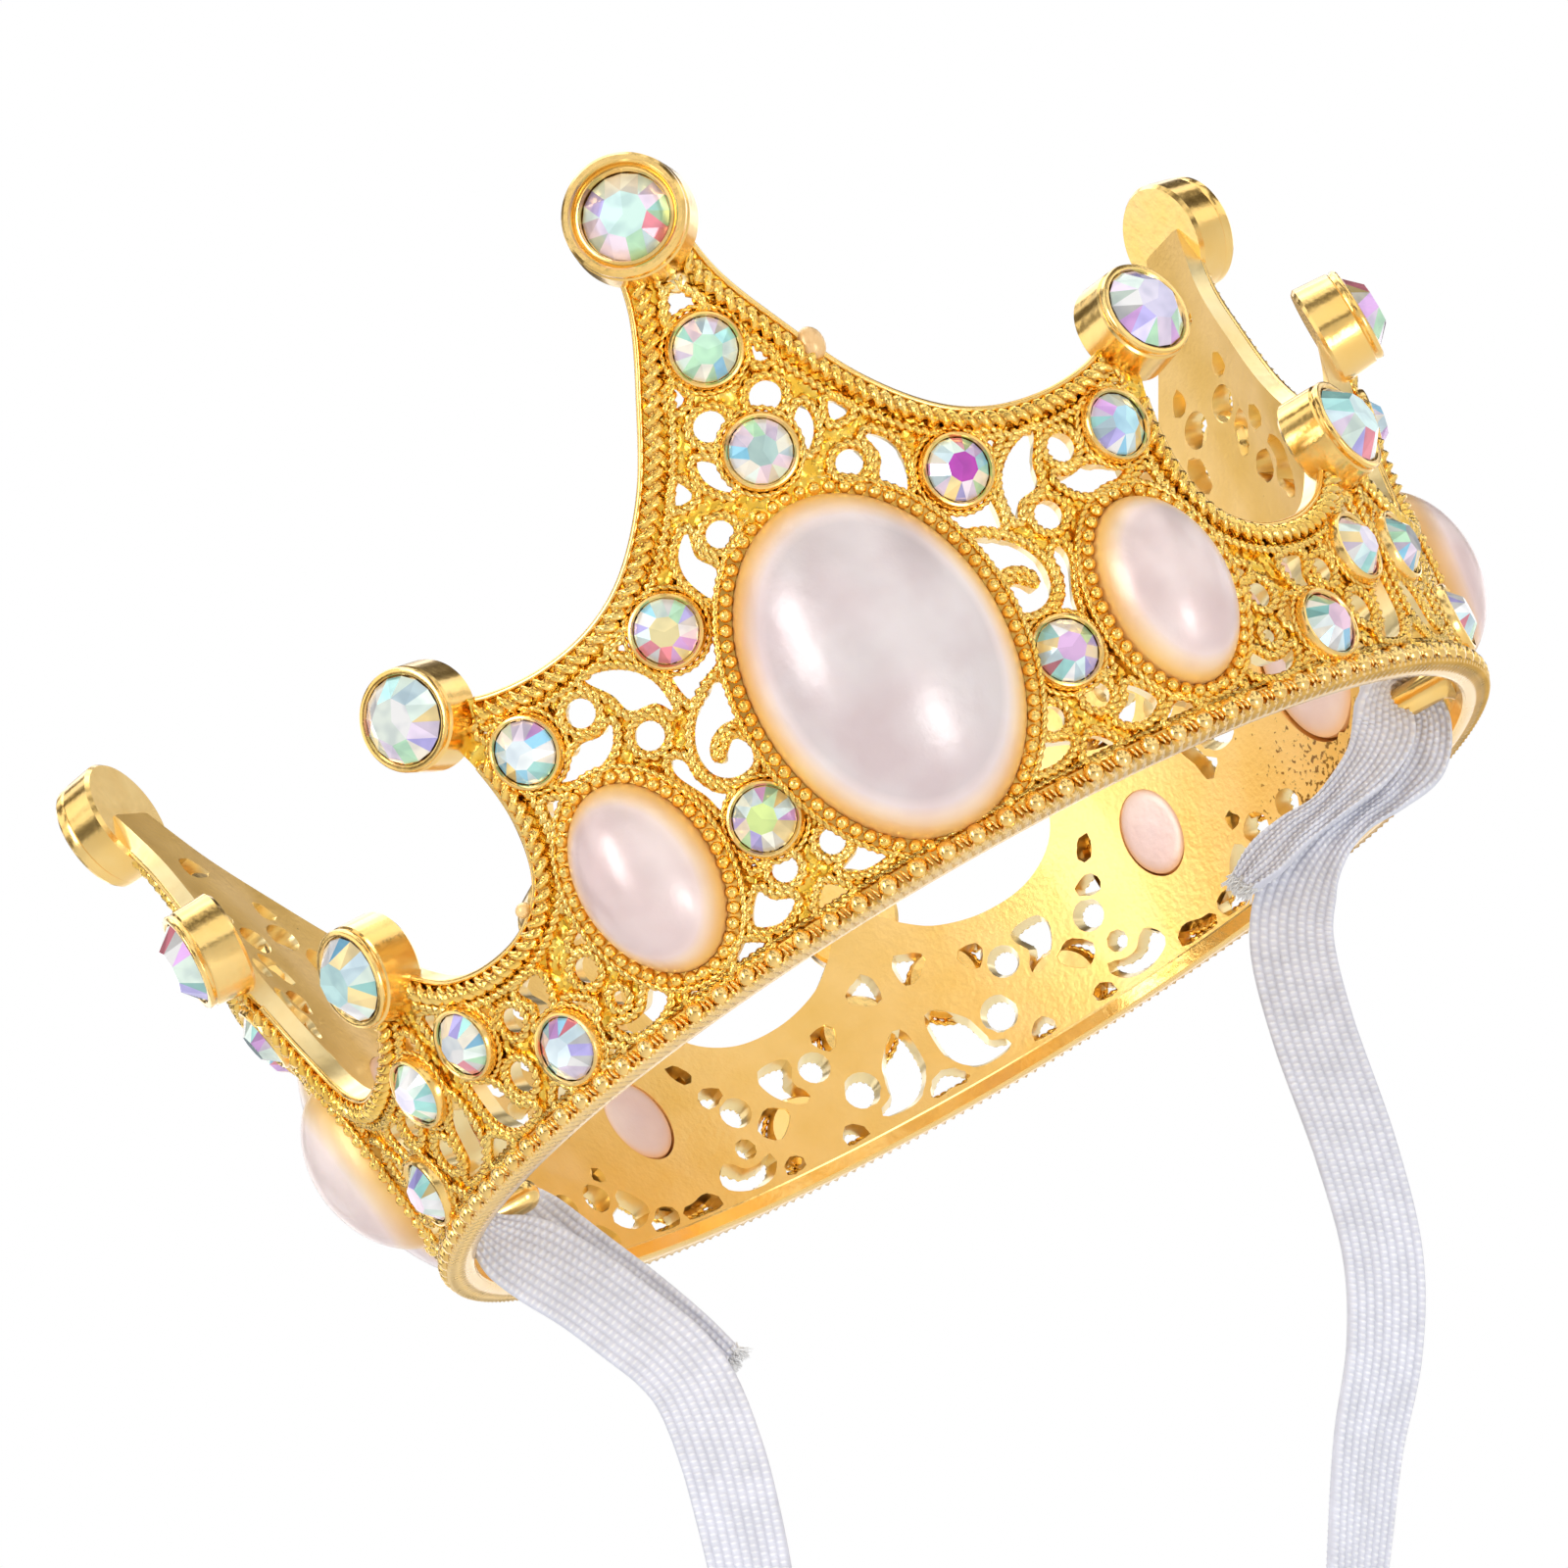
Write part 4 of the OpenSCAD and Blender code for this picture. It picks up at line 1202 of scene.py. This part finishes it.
def make_stones():
    seed = 0
    for panel in range(PANELS):
        for name, places in stone_places(panel).items():
            build = Build()
            for s, z in places:
                gem(build, surface_frame(s, z), SMALL_STONE_D, base=0.3, rise=1.5, seed=seed)
                seed += 1
            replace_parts(build.piece(f"{name}_cut", [CRYSTAL], "crystal", smooth=0), name)
        s0 = panel * PANEL
        i = 2 * panel + 1
        caps = {f"tall_cap_stone_{panel + 1}": (s0, TALL_CAP_Z, TALL_RECESS),
                f"short_cap_stone_{i}": (s0 - SHORT_CAP_AT[0], SHORT_CAP_AT[1], CAP_RECESS),
                f"short_cap_stone_{i + 1}": (s0 + SHORT_CAP_AT[0], SHORT_CAP_AT[1], CAP_RECESS),
                f"mid_cap_stone_{panel + 1}": (s0 + HALF, MID_CAP_Z, CAP_RECESS)}
        for name, (s, z, recess) in caps.items():
            build = Build()
            gem(build, cap_frame(s, z), CAP_STONE_D, base=CAP_LEN - recess,
                rise=1.5 if recess == TALL_RECESS else 2.0, seed=seed, table=0.54)
            seed += 1
            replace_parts(build.piece(f"{name}_cut", [CRYSTAL], "crystal", smooth=0), name)


# ---- light and floor ----

def area_light(name, direction, distance, size, power):
    """A soft light that faces the crown, with its distance and size in metres."""
    data = bpy.data.lights.new(name, "AREA")
    data.shape = "RECTANGLE"
    data.size, data.size_y = size
    data.energy = power
    light = bpy.data.objects.new(name, data)
    centre = Vector((0, 0, 0.02))
    way = Vector(direction).normalized()
    light.location = centre + way * distance
    light.rotation_mode = "QUATERNION"
    light.rotation_quaternion = way.to_track_quat("Z", "Y")
    light.visible_camera = False
    bpy.context.scene.collection.objects.link(light)


def make_studio():
    """A pale floor, four softboxes and an uneven room that the gold reflects."""
    floor_z = -0.32
    floor = Build()
    level = (Matrix.Identity(4), Vector((0, 0, floor_z)))
    lathe(floor, level, [(5000, 0), (2000, 0), (CLOSED, 0)])
    mesh = bpy.data.meshes.new("floor")
    mesh.from_pydata(floor.verts, [], floor.faces)
    ground = bpy.data.objects.new("floor", mesh)
    bpy.context.scene.collection.objects.link(ground)
    material, _, bsdf, _ = new_material("pale_floor")
    settle(bsdf, Base_Color=(0.9, 0.9, 0.9, 1), Roughness=0.9)
    mesh.materials.append(material)

    for name, direction, distance, size, power in (
            ("left_softbox", (-0.645, -0.69, 0.33), 0.55, (0.15, 0.36), 0.9),
            ("right_softbox", (0.28, -0.716, -0.6), 0.5, (0.13, 0.24), 0.6),
            ("top_softbox", (0.1, 0.3, 0.9), 0.7, (0.5, 0.5), 1.3),
            ("back_panel", (0.12, 0.97, -0.2), 0.8, (1.2, 0.5), 0.6)):
        area_light(name, direction, distance, size, power)

    world = bpy.data.worlds.new("studio")
    bpy.context.scene.world = world
    world.use_nodes = True
    tree = world.node_tree
    back = tree.nodes["Background"]
    where = tree.nodes.new("ShaderNodeTexCoord").outputs["Generated"]
    lean = vector_math(tree, where, "DOT_PRODUCT", (0.1, 0.8, 0.45))
    room = ramp(tree, [(0.0, (1.0, 0.99, 0.98)), (0.35, (0.95, 0.94, 0.93)),
                       (0.6, (1.15, 1.14, 1.13)), (1.0, (1.3, 1.3, 1.3))],
                remap(tree, lean, -1.0, 1.0, 0.0, 1.0))
    dark = ramp(tree, [(0.43, (0.06, 0.05, 0.04)), (0.51, (1.22, 1.22, 1.22))],
                noise(tree, where, 2.8, 1.0))
    gap = vector_math(tree, where, "DOT_PRODUCT", (-0.12, -0.97, -0.21))
    shut = ramp(tree, [(0.93, WHITE), (0.965, (0.12, 0.11, 0.1))], gap)
    colour = multiply(tree, multiply(tree, room, dark), shut)
    tree.links.new(colour, back.inputs["Color"])
    seen = node(tree, "ShaderNodeBackground", Color=(1, 1, 1, 1), Strength=1.0)
    rays = tree.nodes.new("ShaderNodeLightPath")
    mix = tree.nodes.new("ShaderNodeMixShader")
    tree.links.new(rays.outputs["Is Camera Ray"], mix.inputs["Fac"])
    tree.links.new(back.outputs["Background"], mix.inputs[1])
    tree.links.new(seen.outputs["Background"], mix.inputs[2])
    tree.links.new(mix.outputs["Shader"], tree.nodes["World Output"].inputs["Surface"])
    bpy.context.scene.view_settings.view_transform = "Standard"


make_camera()
make_strap()
make_band()
make_wires()
make_rim()
make_pegs()
make_caps()
make_settings()
make_nubs()
make_pearls()
make_stones()
make_studio()
